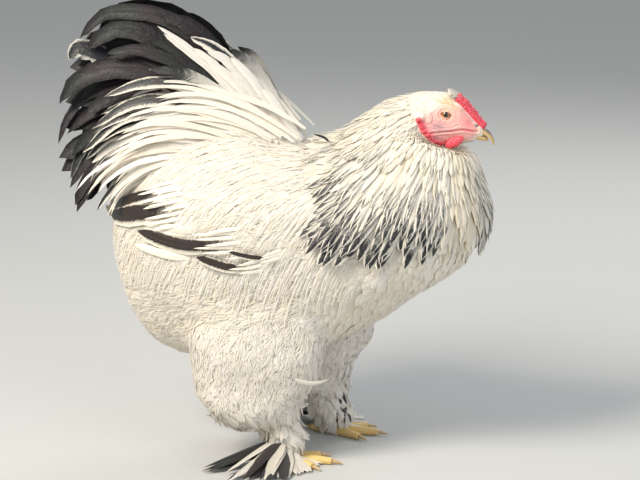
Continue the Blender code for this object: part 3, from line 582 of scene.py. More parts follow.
def rows_of_roots(skin, start, end, row_gap, gap, arc=(-math.pi, math.pi), jitter=0.35):
    """Staggered rows of places from start to end of a skin, row_gap and gap metres apart."""
    ts = np.linspace(start, end, 160)
    spine = skin.at(ts[:, None], np.linspace(*arc, 9)[None])
    run = np.concatenate([[0], np.cumsum(np.linalg.norm(np.diff(spine, axis=0), axis=2).mean(1))])
    found = []
    for i, t in enumerate(np.interp(np.arange(0, run[-1], row_gap), run, ts)):
        angles = np.linspace(*arc, 241)
        hoop = np.concatenate([[0], np.cumsum(np.linalg.norm(np.diff(skin.at(t, angles), axis=0), axis=1))])
        number = max(3, round(hoop[-1] / gap))
        place = (np.arange(number) + 0.25 + 0.5 * (i % 2) + jitter * chance.uniform(-1, 1, number)) / number
        a = np.interp(place * hoop[-1], hoop, angles)
        slide = jitter * chance.uniform(-1, 1, number) * row_gap / run[-1] * (end - start)
        found.append(np.stack([t + slide, a]))
    return np.concatenate(found, axis=1)


print("coat tools ready")

# %% [markdown]
# ## What plumage is made of
# Feathers are keratin, the stuff of horn. A vane is hundreds of fine barbs that slant off its shaft,
# so light runs over it in soft streaks. A white feather has no pigment: it scatters light and lets
# some of it through. A black one holds melanin, and thin layers in its barbs add a green or purple
# gloss; here that gloss is a painted sheen, colour laid along the barbs. So one recipe serves all
# plumage: streaks along the barbs with painted shade in the gaps between them, a shaft, a pale
# colour, a dark mark whose place is read from the feather, and a share of light that passes through.

# %% One recipe for all plumage
BARB = 0.0017  # real barbs lie 0.3 mm apart; they are drawn coarser, so that they show
SHAFT = 0.0005  # half the width at which the raised shaft is drawn


def plumage(name, pale, buff, ash, dark, painted_sheens, roughs, through, margin=0.0, relief=0.0003,
            barb=BARB, **sockets):
    material, tree, shader = new_material(name, IOR=1.55, **sockets)
    vane = add_node(tree, "SeparateXYZ", {0: add_node(tree, "UVMap", uv_map="vane")}).node.outputs
    metric = add_node(tree, "SeparateXYZ", {0: add_node(tree, "UVMap", uv_map="metric")}).node.outputs
    (begin, wide, lean), (tone, warmth, grey) = (
        add_node(
            tree, "SeparateXYZ", {0: add_node(tree, "Attribute", output="Vector", attribute_name=kind)}
        ).node.outputs
        for kind in ("pattern", "tint")
    )
    # How far a spot is from the shaft, and the place along its own barb, which slants to the tip
    off = add_node(tree, "Math", {0: metric[0]}, operation="ABSOLUTE")
    slant = add_node(tree, "Math", {0: off, 1: -1.1, 2: metric[1]}, operation="MULTIPLY_ADD")
    along = add_node(tree, "Math", {0: slant, 1: 1 / barb}, operation="MULTIPLY")
    across = add_node(tree, "Math", {0: metric[0], 1: 1 / (9 * barb)}, operation="MULTIPLY")
    own = add_node(tree, "Math", {0: tone, 1: 57.0}, operation="MULTIPLY")
    where = add_node(tree, "CombineXYZ", {0: along, 1: across, 2: own})
    strand = add_node(tree, "TexNoise", {"Vector": where, "Scale": 1.0, "Detail": 2.0})
    barbs = add_node(tree, "MapRange", {"Value": strand, "From Min": 0.3, "From Max": 0.7})
    shaft = add_node(tree, "MapRange", {"Value": off, "From Min": SHAFT * 1.4, "From Max": SHAFT * 0.6})
    # The dark mark: within its width on both sides of a line, and from its beginning to the tip
    side = add_node(tree, "Math", {0: vane[0], 1: 2.0, 2: -1.0}, operation="MULTIPLY_ADD")
    side = add_node(tree, "Math", {0: side, 1: lean}, operation="SUBTRACT")
    side = add_node(tree, "Math", {0: side}, operation="ABSOLUTE")
    ragged = add_node(tree, "Math", {0: barbs, 1: 0.22, 2: -0.11}, operation="MULTIPLY_ADD")
    inside = add_node(tree, "Math", {0: wide, 1: side}, operation="SUBTRACT")
    inside = add_node(tree, "Math", {0: inside, 1: ragged}, operation="ADD")
    past = add_node(tree, "Math", {0: vane[1], 1: begin}, operation="SUBTRACT")
    past = add_node(tree, "Math", {0: past, 1: ragged}, operation="ADD")
    within = add_node(tree, "MapRange", {"Value": inside, "From Min": 0.0, "From Max": 0.14})
    from_here = add_node(tree, "MapRange", {"Value": past, "From Min": 0.0, "From Max": 0.16})
    mark = add_node(tree, "Math", {0: within, 1: from_here}, operation="MULTIPLY")
    if margin:  # the pale edge goes round the tip too
        whole = add_node(tree, "Math", {0: metric[1], 1: vane[1]}, operation="DIVIDE")
        left = add_node(tree, "Math", {0: whole, 1: metric[1]}, operation="SUBTRACT")
        limits = {"From Min": margin * 0.5, "From Max": margin * 1.5}
        rim = add_node(tree, "MapRange", {"Value": left, **limits})
        mark = add_node(tree, "Math", {0: mark, 1: rim}, operation="MULTIPLY")
    # A grey wash runs ahead of the dark mark
    near = add_node(tree, "MapRange", {"Value": past, "From Min": -0.55, "From Max": 0.05})
    close = add_node(tree, "MapRange", {"Value": inside, "From Min": -0.30, "From Max": 0.10})
    wash = add_node(tree, "Math", {0: near, 1: close}, operation="MULTIPLY")
    wash = add_node(tree, "Math", {0: wash, 1: 0.75, 2: grey}, operation="MULTIPLY_ADD", use_clamp=True)
    warm = add_node(tree, "Mix", {0: warmth, 6: linear(pale), 7: linear(buff)}, 2, data_type="RGBA")
    light = add_node(tree, "Mix", {0: wash, 6: warm, 7: linear(ash)}, 2, data_type="RGBA")
    # Gaps between barbs are painted a little darker, as painted shade, and no two feathers are quite alike
    depth = add_node(tree, "MapRange", {"Value": barbs, "To Min": 0.93, "To Max": 1.03})
    level = add_node(tree, "MapRange", {"Value": tone, "To Min": 0.94, "To Max": 1.03})
    depth = add_node(tree, "Math", {0: depth, 1: level}, operation="MULTIPLY")
    light = add_node(tree, "VectorMath", {0: light, "Scale": depth}, operation="SCALE")
    # Painted sheen: along the barbs the dark is lifted towards green in some patches and purple in others
    spot = add_node(tree, "NewGeometry", output="Position")
    patch = add_node(tree, "TexNoise", {"Vector": spot, "Scale": 22.0, "Detail": 1.0})
    patch = add_node(tree, "MapRange", {"Value": patch, "From Min": 0.42, "From Max": 0.60})
    painted_sheen = add_node(tree, "Mix", {0: patch, 6: linear(painted_sheens[0]), 7: linear(painted_sheens[1])}, 2, data_type="RGBA")
    painted_sheen_share = add_node(tree, "Math", {0: barbs, 1: 0.75}, operation="MULTIPLY")
    black = add_node(tree, "Mix", {0: painted_sheen_share, 6: linear(dark), 7: painted_sheen}, 2, data_type="RGBA")
    colour = add_node(tree, "Mix", {0: mark, 6: light, 7: black}, 2, data_type="RGBA")
    rough = add_node(tree, "MapRange", {"Value": mark, "To Min": roughs[0], "To Max": roughs[1]})
    high = add_node(tree, "Math", {0: shaft, 1: 0.8, 2: barbs}, operation="MULTIPLY_ADD")
    bump = add_node(tree, "Bump", {"Height": high, "Distance": relief, "Strength": 0.7})
    feed(shader, {"Base Color": colour, "Roughness": rough, "Normal": bump})
    if through:
        glow = add_node(tree, "BsdfTranslucent", {"Color": colour, "Normal": bump})
        both = add_node(tree, "MixShader", {0: through, 1: shader.outputs[0], 2: glow})
        feed(tree.nodes["Material Output"], {"Surface": both})
    return material


# Contour feathers: soft and matt, cream white, with light shining through their edges.
WHITE_FEATHER = plumage(
    "white contour feather", "#FBF8F1", "#F4E6CB", "#A9A6A2", "#2A2523", ("#1F2A25", "#3A322E"), (0.68, 0.45), 0.35,
    Sheen_Weight=0.15, Sheen_Roughness=0.5,
)
# Head feathers: the same stuff in miniature, with buff ones at the brow.
HEAD_FEATHER = plumage(
    "short head feather", "#FCF9F2", "#E9C995", "#B5B1AC", "#2A2523", ("#1F2A25", "#3A322E"), (0.72, 0.5), 0.35,
    relief=0.0001, barb=0.0006, Sheen_Weight=0.15, Sheen_Roughness=0.5,
)
# Hackle and lacing: narrow, firm and a little glossy, black inside a cream margin.
LACED_FEATHER = plumage(
    "laced hackle feather", "#FAF5EA", "#EDE0C2", "#83837F", "#151417", ("#202B27", "#2A2630"), (0.52, 0.36), 0.20,
    margin=0.0016, Sheen_Weight=0.1, Sheen_Roughness=0.4,
)
# Flight feathers: broad and stiff, the sun has browned the black of their webs, and a brown painted sheen runs along
# their barbs.
FLIGHT_FEATHER = plumage(
    "browned flight feather", "#FAF5EA", "#EDE0C2", "#8C837A", "#1B1411", ("#3B2A22", "#2C211C"), (0.52, 0.42), 0.10,
    margin=0.0016, Sheen_Weight=0.1, Sheen_Roughness=0.4,
)
# Tail feathers: melanin black that the sun has browned, with a green and purple painted sheen.
BLACK_FEATHER = plumage(
    "glossy black tail feather", "#171312", "#3A2A21", "#77706B", "#0D0B0D", ("#13211A", "#241720"), (0.55, 0.48), 0.0,
    relief=0.0005, Specular_IOR_Level=0.28, Coat_Weight=0.05, Coat_Roughness=0.35,
)
# Down: loose barbs with no hooks, so it looks softest of all and is never glossy.
DOWN = plumage(
    "white down", "#FCF9F3", "#F4E8D2", "#B4B0AA", "#3A3432", ("#3A3432", "#4A423C"), (0.85, 0.7), 0.40,
    relief=0.0003, Sheen_Weight=0.3, Sheen_Roughness=0.6,
)
print("plumage", WHITE_FEATHER.name, HEAD_FEATHER.name, LACED_FEATHER.name, FLIGHT_FEATHER.name,
      BLACK_FEATHER.name, DOWN.name, sep=", ")

# %% [markdown]
# ## The skin
# Under a bird's coat is one thin skin, and feathers grow from it in rows. Here it also closes the view
# between feathers. Overlapping solids are melted into one by a voxel remesh, which leaves no seam
# where a leg meets the body. The face is bare in a cockerel, so the head gets a fine grid of its own.


# %% Solids that melt into one
def under(skin, depth, end=1.0):
    """Loops of points at a depth under a skin, which grows from nothing over its first part."""
    t, angle = grid_round(44, 60, end)
    return skin.at(t, angle) - skin.out(t, angle) * (depth * np.clip(3 * t + 0.1, 0, 1))[..., None]


def ball_loops(centre, sizes, turn=None, rows=12, columns=20):
    polar = np.linspace(0.03, math.pi - 0.03, rows)[:, None]
    bearing = np.linspace(0, 2 * math.pi, columns, False)[None]
    axes = (np.sin(polar) * np.cos(bearing), np.sin(polar) * np.sin(bearing), np.cos(polar))
    points = np.stack(np.broadcast_arrays(*axes), -1) * sizes
    return (points if turn is None else points @ np.array(turn).T) + centre


def tube_loops(points, radii, columns=14):
    points = np.array(points, float)
    heading = unit(np.gradient(points, axis=0))
    across = unit(np.cross(heading, (0, 0, 1)))
    over = np.cross(across, heading)
    bearing = np.linspace(0, 2 * math.pi, columns, False)[:, None]
    spokes = across[:, None] * np.cos(bearing) + over[:, None] * np.sin(bearing)
    return points[:, None] + spokes * np.array(radii)[:, None, None]


def ring_faces(rows, columns, closed_ends=False):
    """Quads of a grid that is closed round, and fans over its ends round two more corners."""
    index = np.arange(rows * columns).reshape(rows, columns)
    after = np.roll(index, -1, 1)
    quads = np.stack([index[:-1], after[:-1], after[1:], index[1:]], -1).reshape(-1, 4)
    if not closed_ends:
        return [quads]
    first, last = rows * columns, rows * columns + 1
    caps = [np.stack([after[0], index[0], np.full(columns, first)], -1)]
    caps.append(np.stack([index[-1], after[-1], np.full(columns, last)], -1))
    return [quads, np.concatenate(caps)]


def closed(loops):
    """Corners and faces of a grid of loops with its ends closed."""
    ends = loops[[0, -1]].mean(axis=1)
    return np.concatenate([loops.reshape(-1, 3), ends]), ring_faces(*loops.shape[:2], closed_ends=True)


def melted(solids, voxel, soften):
    """Corners and quads of one surface round overlapping solids."""
    bm = bmesh.new()
    for loops in solids:
        corners, faces = closed(loops)
        made = [bm.verts.new(corner) for corner in corners]
        for face in [f for kind in faces for f in kind]:
            bm.faces.new([made[i] for i in face])
    bmesh.ops.recalc_face_normals(bm, faces=bm.faces)
    mesh = bpy.data.meshes.new("melt")
    bm.to_mesh(mesh)
    bm.free()
    crucible = new_object("melt", mesh)
    remesh = crucible.modifiers.new("remesh", "REMESH")
    remesh.mode, remesh.voxel_size = "VOXEL", voxel
    blur = crucible.modifiers.new("smooth", "SMOOTH")
    blur.factor, blur.iterations = 0.6, soften
    made = crucible.evaluated_get(bpy.context.evaluated_depsgraph_get()).to_mesh()
    corners = np.empty(len(made.vertices) * 3)
    made.vertices.foreach_get("co", corners)
    faces = [np.array([tuple(f.vertices) for f in made.polygons if len(f.vertices) == n]) for n in (4, 3)]
    bpy.data.objects.remove(crucible)
    return corners.reshape(-1, 3), [f for f in faces if len(f)]


def joined(*meshes):
    """One list of corners and one of faces from several."""
    corners, faces, first = [], [], 0
    for some, kinds in meshes:
        faces += [kind + first for kind in kinds]
        corners.append(some)
        first += len(some)
    return np.concatenate(corners), faces


print("melting tools ready")

# %% [markdown]
# The toes end in front of the plumage. A toe is a slim tube with a row of scutes, which are small
# overlapping plates, so its radius steps a little along its upper side. The claws are horn, curved
# down to a blunt tip.

# %% Toes and claws
ANKLE = np.array([0.008, 0.0, 0.0085])
TOES = {"inner": (-0.52, 0.046), "middle": (0.04, 0.060), "outer": (0.60, 0.050), "hind": (2.85, 0.030)}
TOE_HEIGHTS = (0.0060, 0.0055, 0.0050, 0.0043)
TOE_RADII = (0.0064, 0.0060, 0.0054, 0.0045)
TOE_AT = (0, 0.35, 0.7, 1)  # where along a toe its heights and radii are given
SCUTE = 0.0036  # length of one plate
ANKLES = {side: SHIFT + place + ANKLE for side, place in places.items()}
toe_solids, claw_meshes = [], []
for side, ankle in ANKLES.items():
    toe_solids.append(ball_loops(ankle, (0.014, 0.012, 0.0080)))
    for heading, length in TOES.values():
        lie = np.array([math.cos(heading), side * math.sin(heading), 0])
        s = np.linspace(0, 1, 70)
        points = ankle + lie * (length * s)[:, None]
        points[:, 2] = np.interp(s, TOE_AT, TOE_HEIGHTS)
        step = (s * length / SCUTE) % 1
        radii = np.interp(s, TOE_AT, TOE_RADII) * (1.04 - 0.10 * step**3)
        loops = tube_loops(points, radii)
        loops[..., 2] = np.maximum(loops[..., 2], 0.0004)
        toe_solids.append(loops)
        s = np.linspace(0, 1, 14)
        points = points[-1] + lie * (0.0012 + 0.0125 * s[:, None]) - (0, 0, 1) * (0.0024 * s**2)[:, None]
        claw_meshes.append(closed(tube_loops(points, 0.0027 * (1 - 0.80 * s**1.3), 16)))
print("toes and claws", len(toe_solids), len(claw_meshes))

# %% [markdown]
# The face is built on the head's skin as a height for each point: folds, pits and swellings are bells
# round lines and spots drawn on the side of the head. A bell falls off smoothly, so forms melt into
# one another as flesh does.

# %% Lines and spots of the face, as (x, z)
MOUTH_LINE = [(0.181, 0.4143), (0.195, 0.4163), (0.210, 0.4177), (0.219, 0.4190), (0.236, 0.4158)]
JOWL_LINE = [(0.167, 0.4300), (0.173, 0.4170), (0.184, 0.4050), (0.193, 0.3990)]
FOLDS = [
    [(0.1870, 0.4250), (0.1950, 0.4222), (0.2060, 0.4230), (0.2150, 0.4275)],
    [(0.1830, 0.4225), (0.1930, 0.4190), (0.2060, 0.4200), (0.2190, 0.4240)],
    [(0.1770, 0.4230), (0.1830, 0.4130), (0.1930, 0.4085)],
    [(0.1830, 0.4400), (0.1780, 0.4380), (0.1750, 0.4340)],
    [(0.2130, 0.4400), (0.2220, 0.4350), (0.2290, 0.4290)],
]
NOSTRIL = (0.2352, 0.4224)
TILT = math.radians(-11)  # the eye's front corner lies lower than its rear one
BARE_PATCHES = [(0.2040, 0.4235, 0.0345, 0.0242), (0.2330, 0.4170, 0.0190, 0.0190)]  # middle and half sizes


def bell(far, wide):
    return np.exp(-((far / wide) ** 2))


def from_line(x, z, line):
    """How far points are from a line of (x, z)."""
    best = np.full(np.shape(x), 1.0)
    for (ax, az), (bx, bz) in zip(line, line[1:]):
        dx, dz = bx - ax, bz - az
        f = np.clip(((x - ax) * dx + (z - az) * dz) / (dx * dx + dz * dz), 0, 1)
        best = np.minimum(best, np.hypot(x - ax - f * dx, z - az - f * dz))
    return best


def bareness(x, z):
    """1 on the bare face and 0 where feathers grow."""
    fars = [((x - cx) / half_x) ** 2 + ((z - cz) / half_z) ** 2 for cx, cz, half_x, half_z in BARE_PATCHES]
    patches = 1 - smooth(np.minimum(*fars), 0.85, 1.12)
    return np.maximum(patches, 1 - smooth(from_line(x, z, JOWL_LINE), 0.0040, 0.0056))


def buff_brow(x, z):
    """How buff the skin and the feathers of the brow are."""
    return 0.8 * bell(np.hypot((x - 0.207) / 1.6, z - 0.4490), 0.0065)


t, angle = grid_round(210, 280)
head_points = HEAD.at(t, angle)
x, z = (head_points - SHIFT)[..., 0], (head_points - SHIFT)[..., 2]
flank = smooth(np.abs(np.sin(angle)), 0.25, 0.6)
along = (x - EYE[0]) * math.cos(TILT) + (z - EYE[2]) * math.sin(TILT)
above = (z - EYE[2]) * math.cos(TILT) - (x - EYE[0]) * math.sin(TILT)
eye_far = np.hypot(along / 0.0082, above / 0.0060)
jowl_far = from_line(x, z, JOWL_LINE)
mouth_far = from_line(x, z, MOUTH_LINE)
height = -0.0045 * (1 - smooth(eye_far, 0.75, 1.15))
height += 0.0018 * bell(np.hypot((x - 0.1930) / 0.013, (z - 0.4190) / 0.0065), 1.0)
height += 0.0036 * bell(jowl_far, 0.0038) * (1 + 0.25 * lumps(head_points, 0.0022, 21))
height -= 0.0022 * bell(jowl_far, 0.0008)  # parts the jowl into two folds
height -= 0.0018 * bell(mouth_far, 0.0009)
height += 0.0009 * bell(mouth_far - 0.0026, 0.0016)
for fold in FOLDS:
    far = from_line(x, z, fold)
    height += 0.0004 * bell(far, 0.0009) - 0.0003 * bell(far - 0.0017, 0.0008)
nostril_far = np.hypot((x - NOSTRIL[0]) / 1.5, z - NOSTRIL[1] + 0.25 * (x - NOSTRIL[0]))
height += 0.0011 * bell(nostril_far, 0.0032) - 0.0040 * bell(nostril_far, 0.0013)
bare = bareness(x, z) * flank
height += bare * (0.00016 * lumps(head_points, 0.0026, 22) + 0.00010 * lumps(head_points, 0.0013, 23))
head_points = head_points + HEAD.out(t, angle) * (height * flank)[..., None]
print("head grid", t.shape, "deepest", round(float(height.min()) * 1000, 1), "mm")

# %% [markdown]
# Skin is translucent: light enters it, spreads in the blood-rich layer below and comes out redder.
# Principled's subsurface does that. The face is pale pink with a red fold at the jowl, and a mauve
# painted shade lies under the eye. Attributes say where, so that the colours stay in place from every side.

# %% Bare skin and the skin object
skin_material, tree, shader = new_material(
    "bare facial skin", Subsurface_Weight=0.18, Subsurface_Scale=0.003, IOR=1.42, Specular_IOR_Level=0.45
)
flush_and_shade = add_node(
    tree, "SeparateXYZ", {0: add_node(tree, "Attribute", output="Vector", attribute_name="flush_and_shade")}
).node.outputs
cover = add_node(
    tree, "SeparateXYZ", {0: add_node(tree, "Attribute", output="Vector", attribute_name="cover")}
).node.outputs
spot = add_node(tree, "NewGeometry", output="Position")
veins = add_node(tree, "TexNoise", {"Vector": spot, "Scale": 420.0, "Detail": 4.0})  # 2.4 mm blotches
pores = add_node(tree, "TexVoronoi", {"Vector": spot, "Scale": 1100.0})  # pores 0.9 mm apart
blotch = add_node(tree, "MapRange", {"Value": veins, "From Min": 0.30, "From Max": 0.76})
pink = add_node(tree, "Mix", {0: blotch, 6: linear("#F0BFB5"), 7: linear("#DF9A93")}, 2, data_type="RGBA")
red = add_node(tree, "Mix", {0: blotch, 6: linear("#E0606A"), 7: linear("#C23A48")}, 2, data_type="RGBA")
colour = add_node(tree, "Mix", {0: flush_and_shade[0], 6: pink, 7: red}, 2, data_type="RGBA")
colour = add_node(tree, "Mix", {0: flush_and_shade[1], 6: colour, 7: linear("#A5808C")}, 2, data_type="RGBA")
colour = add_node(tree, "Mix", {0: flush_and_shade[2], 6: colour, 7: linear("#E9CDA2")}, 2, data_type="RGBA")
# the third colour also paints the nostril's pit near black, as painted shade
for k, shade in enumerate(("#EAE3D6", "#D9B978", "#191618")):  # down's base, scaly toes, the tail's root
    colour = add_node(tree, "Mix", {0: cover[k], 6: colour, 7: linear(shade)}, 2, data_type="RGBA")
high = add_node(tree, "Math", {0: pores, 1: 0.5, 2: veins}, operation="MULTIPLY_ADD")
bump = add_node(tree, "Bump", {"Height": high, "Distance": 0.0004, "Strength": 0.5})
rough = add_node(tree, "MapRange", {"Value": veins, "To Min": 0.42, "To Max": 0.62})
feed(shader, {"Base Color": colour, "Roughness": rough, "Normal": bump})
print("material", skin_material.name)

# %% [markdown]
# The body, the toes and the head become one object. Voxels of 3.2 mm are enough under the feathers,
# and the toes, which are seen, get 0.9 mm.

# %% One skin
body_solids = [under(TORSO, 0.0035), under(CAPE, 0.011, 0.80), under(TAIL, 0.004)]
for side in SIDES:
    body_solids += [under(THIGHS[side], 0.004), under(SHANKS[side], 0.003)]
body_mesh = melted(body_solids, 0.0032, 4)
toe_mesh = melted(toe_solids, 0.0009, 2)
head_mesh = (head_points.reshape(-1, 3), ring_faces(*t.shape))
corners, faces = joined(body_mesh, toe_mesh, head_mesh)
body_end, toes_end = len(body_mesh[0]), len(body_mesh[0]) + len(toe_mesh[0])
print("skin", len(corners), "corners,", body_end, "of them on the body")

# %% [markdown]
# Blood shows where skin is thin: red along the jowl and under the beak. Round the eye, mostly below it,
# a mauve painted shade darkens the skin. The brow and the root of the beak are buff. These shares are
# worked out for every corner of the skin.

# %% Colours of the face
x, y, z = (corners - SHIFT).T
cheek = smooth(np.abs(y), 0.006, 0.014)
reds = 1.2 * bell(from_line(x, z, JOWL_LINE), 0.0052) + 0.5 * bell(np.hypot(x - 0.207, z - 0.4050), 0.0075)
reds += 0.45 * bell(np.hypot(x - 0.226, z - 0.4265), 0.010) + 0.5 * bell(from_line(x, z, MOUTH_LINE), 0.0012)
# painted shade in mauve round the eye, mostly below it
painted_eye_shade = 0.85 * bell(np.hypot((x - 0.190) / 1.9, z - 0.4230), 0.0060)
painted_eye_shade += 0.40 * bell(np.hypot(x - 0.188, z - 0.4090), 0.006)
painted_eye_shade += 0.5 * bell(np.hypot(x - 0.2185, (z - 0.443) / 1.5), 0.0035)
snout = smooth(x, 0.228, 0.240) * (1 - bell(z - 0.424, 0.006))  # paler next to the beak
order = np.arange(len(x))
on_body, on_head = (order < body_end) * 1.0, (order >= toes_end) * 1.0
flushes_and_shade = np.stack([reds, painted_eye_shade, buff_brow(x, z) + 0.6 * snout], -1)
flushes_and_shade = np.clip(flushes_and_shade, 0, 1) * (on_head * cheek)[:, None]
feathered = on_head * (1 - bareness(x, z) * cheek) + on_body
toes = 1 - on_body - on_head
tail_root = on_body * smooth(z - 0.45 - 0.9 * (x + 0.15), -0.02, 0.02) * smooth(-x, 0.08, 0.12)
# painted shade: the nostril's pit is coloured near black
nostril = on_head * bell(np.hypot((x - NOSTRIL[0]) / 1.5, z - NOSTRIL[1]), 0.0012)
covers = np.stack([feathered, toes, tail_root + nostril], -1)
LIMBS = ("wing", "thigh", "shank", "foot")
FLESH = ["head", "neck", "torso"] + [f"{part}_{side}" for part in LIMBS for side in SIDES.values()]
skin = new_piece("skin", corners, faces, skin_material, "face_skin", facts={"flush_and_shade": flushes_and_shade, "cover": covers})
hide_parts(*FLESH)
print("bare corners", int((feathered < 0.5).sum()))

# %% [markdown]
# ## Eyes and lids
# A cockerel's eye is a wet ball with a dark round pupil and an amber iris that is streaked outwards
# from it. Its colours follow the distance from the axis of sight, and its upper part is painted
# darker, a painted shade of the upper lid. A clear coat stands for the tear film, which gives the
# small bright reflection that makes an eye look alive. The lids are one sheet that starts under
# their rim on the ball, rolls over it and runs down into the face.

# %% The eye's material
LOOK = {side: unit(np.array([0.10, side, 0.12])) for side in SIDES}
eye_material, tree, shader = new_material(
    "wet amber eye", IOR=1.38, Coat_Weight=1.0, Coat_Roughness=0.02, Roughness=0.12, Specular_IOR_Level=0.5
)
ray = add_node(
    tree, "SeparateXYZ", {0: add_node(tree, "Attribute", output="Vector", attribute_name="ray")}
).node.outputs
swirl = add_node(tree, "CombineXYZ", {0: ray[1], 1: ray[2], 2: ray[0]})
streaks = add_node(tree, "TexNoise", {"Vector": swirl, "Scale": 9.0, "Detail": 3.0})
amber = add_node(tree, "Mix", {0: streaks, 6: linear("#6A300C"), 7: linear("#C98330")}, 2, data_type="RGBA")
# Painted shade: the iris is darker towards its top, where the upper lid shades it
shade = add_node(tree, "MapRange", {"Value": ray[2], "From Min": -0.2, "From Max": 0.9, "To Max": 0.75})
amber = add_node(tree, "Mix", {0: shade, 6: amber, 7: linear("#3A1C0C")}, 2, data_type="RGBA")
edge = add_node(tree, "MapRange", {"Value": ray[0], "From Min": 4.6, "From Max": 6.2})
amber = add_node(tree, "Mix", {0: edge, 6: amber, 7: linear("#3B1D0E")}, 2, data_type="RGBA")
pupil = add_node(tree, "MapRange", {"Value": ray[0], "From Min": 2.85, "From Max": 2.50})
colour = add_node(tree, "Mix", {0: pupil, 6: amber, 7: linear("#060505")}, 2, data_type="RGBA")
feed(shader, {"Base Color": colour})
print("material", eye_material.name)


# %% Eyeballs
EYEBALL = EYE_RADIUS - 0.0002


def aside(look):
    """Directions along the eye's opening and across it, both across the line of sight."""
    forward = unit(np.array([1.0, 0, 0]) - look * look[0])
    upward = unit(np.array([0, 0, 1.0]) - look * look[2] - forward * forward[2])
    c, s = math.cos(TILT), math.sin(TILT)
    return forward * c + upward * s, upward * c - forward * s


for side, name in SIDES.items():
    centre = EYE * (1, side, 1) + SHIFT
    forward, upward = aside(LOOK[side])
    polar = np.linspace(0.012, math.pi - 0.012, 60)[:, None]
    bearing = np.linspace(0, 2 * math.pi, 72, False)[None] * side
    rays = np.sin(polar)[..., None] * (np.cos(bearing)[..., None] * forward + np.sin(bearing)[..., None] * upward)
    rays = rays + np.cos(polar)[..., None] * LOOK[side]
    cornea = 0.0005 * bell(polar, 0.55)
    corners, faces = closed(centre + rays * (EYEBALL + cornea)[..., None])
    millimetres = np.broadcast_to(np.sin(np.minimum(polar, 1.5)) * EYEBALL * 1000, rays.shape[:2])
    round_it = [np.broadcast_to(f(bearing), rays.shape[:2]) for f in (np.cos, np.sin)]
    facts = np.stack([millimetres, *round_it], -1).reshape(-1, 3)
    facts = np.concatenate([facts, [(0, 0, 0), (9, 0, 0)]])
    eye = new_piece("eyeball_" + name, corners, faces, eye_material, "eye", facts={"ray": facts})
    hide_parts("eye_" + name)
print("eyeballs", round(EYEBALL * 2000, 1), "mm across")

# %% [markdown]
# Each lid row below is a loop round the almond of the opening. The first ones hug the ball, the next
# ones roll over the rim, and the last ones run down onto the head, whose height a ray finds.

# %% Lids
LID_POINTS = 112
OPENING = (0.0073, 0.0043)  # half length and half height of the eye's opening
LID_ROWS = [  # further out than the opening's edge, over the surface below, share of the head's own surface
    (-0.0014, -0.0002, 0.0), (-0.0005, 0.0002, 0.0), (0.0000, 0.0007, 0.0), (0.0004, 0.0009, 0.05),
    (0.0008, 0.0007, 0.15), (0.0012, 0.0002, 0.3), (0.0017, 0.0006, 0.45), (0.0022, 0.0008, 0.6),
    (0.0027, 0.0003, 0.75), (0.0034, 0.0005, 0.9), (0.0042, 0.0003, 1.0), (0.0055, -0.0006, 1.0),
]
head_tree = BVHTree.FromPolygons([Vector(p) for p in head_mesh[0]], [tuple(f) for f in head_mesh[1][0]])
for side, name in SIDES.items():
    centre = EYE * (1, side, 1) + SHIFT
    forward, upward = aside(LOOK[side])
    loops = []
    for more, over, share in LID_ROWS:
        loop = []
        for bearing in np.linspace(0, 2 * math.pi, LID_POINTS, False) * side:
            c, s = math.cos(bearing), math.sin(bearing)
            along = (OPENING[0] + more) * c * (1 + 0.05 * c**6)
            above = (OPENING[1] + more * 1.1) * s * (1 - 0.18 * max(c, 0) ** 3)
            spot = centre + forward * along + upward * (above + 0.0004 * c)
            reach = math.hypot(along, above)
            ball = math.sqrt(EYEBALL**2 - min(reach, 0.0062) ** 2)
            start = Vector(spot + LOOK[side] * 0.03)
            hit = head_tree.ray_cast(start, Vector(-LOOK[side]), 0.06)[3]
            face = 0.03 - hit if hit else ball
            crease = 0.0002 * math.sin(13 * bearing + 900 * more) * share
            high = ball * (1 - share) + face * share + over + crease
            loop.append(spot + LOOK[side] * (max(high, ball + 0.0003, face + 0.0002) if over > 0 else high))
        loops.append(loop)
    loops = np.array(loops)
    x, _, z = (loops - SHIFT).reshape(-1, 3).T
    rows = np.arange(len(LID_ROWS))
    fact = np.zeros((len(x), 3))
    fact[:, 0] = np.repeat(np.interp(rows, (0, 3, 6, 11), (0.5, 0.15, 0.1, 0.05)), LID_POINTS)
    fact[:, 2] = np.repeat(np.interp(rows, (0, 2, 6, 11), (0.0, 0.40, 0.15, 0.0)), LID_POINTS)
    fact[:, 2] += buff_brow(x, z)
    facts = {"flush_and_shade": np.clip(fact, 0, 1), "cover": np.zeros_like(fact)}
    faces = ring_faces(*loops.shape[:2])
    new_piece("lids_" + name, loops.reshape(-1, 3), faces, skin_material, "face_skin", facts=facts)
print("lids opening in mm", [round(2000 * size, 1) for size in OPENING])

# %% [markdown]
# ## Comb, wattles and earlobes
# A Brahma has a pea comb: three low rows of small beads. The comb and the wattles are thick skin full
# of blood, set with fine bumps, so they are strongly red and a little waxy. Balls of several sizes are
# melted together, since a remesh turns their joints into soft furrows like those of the real thing.

# %% Red flesh
red_material, tree, shader = new_material(
    "red comb flesh", Subsurface_Weight=0.25, Subsurface_Scale=0.002, Subsurface_Radius=(1.0, 0.25, 0.15),
    IOR=1.42, Specular_IOR_Level=0.5,
)
spot = add_node(tree, "NewGeometry", output="Position")
beads = add_node(tree, "TexVoronoi", {"Vector": spot, "Scale": 620.0})  # bumps 1.6 mm apart
blotch = add_node(tree, "TexNoise", {"Vector": spot, "Scale": 260.0, "Detail": 4.0})
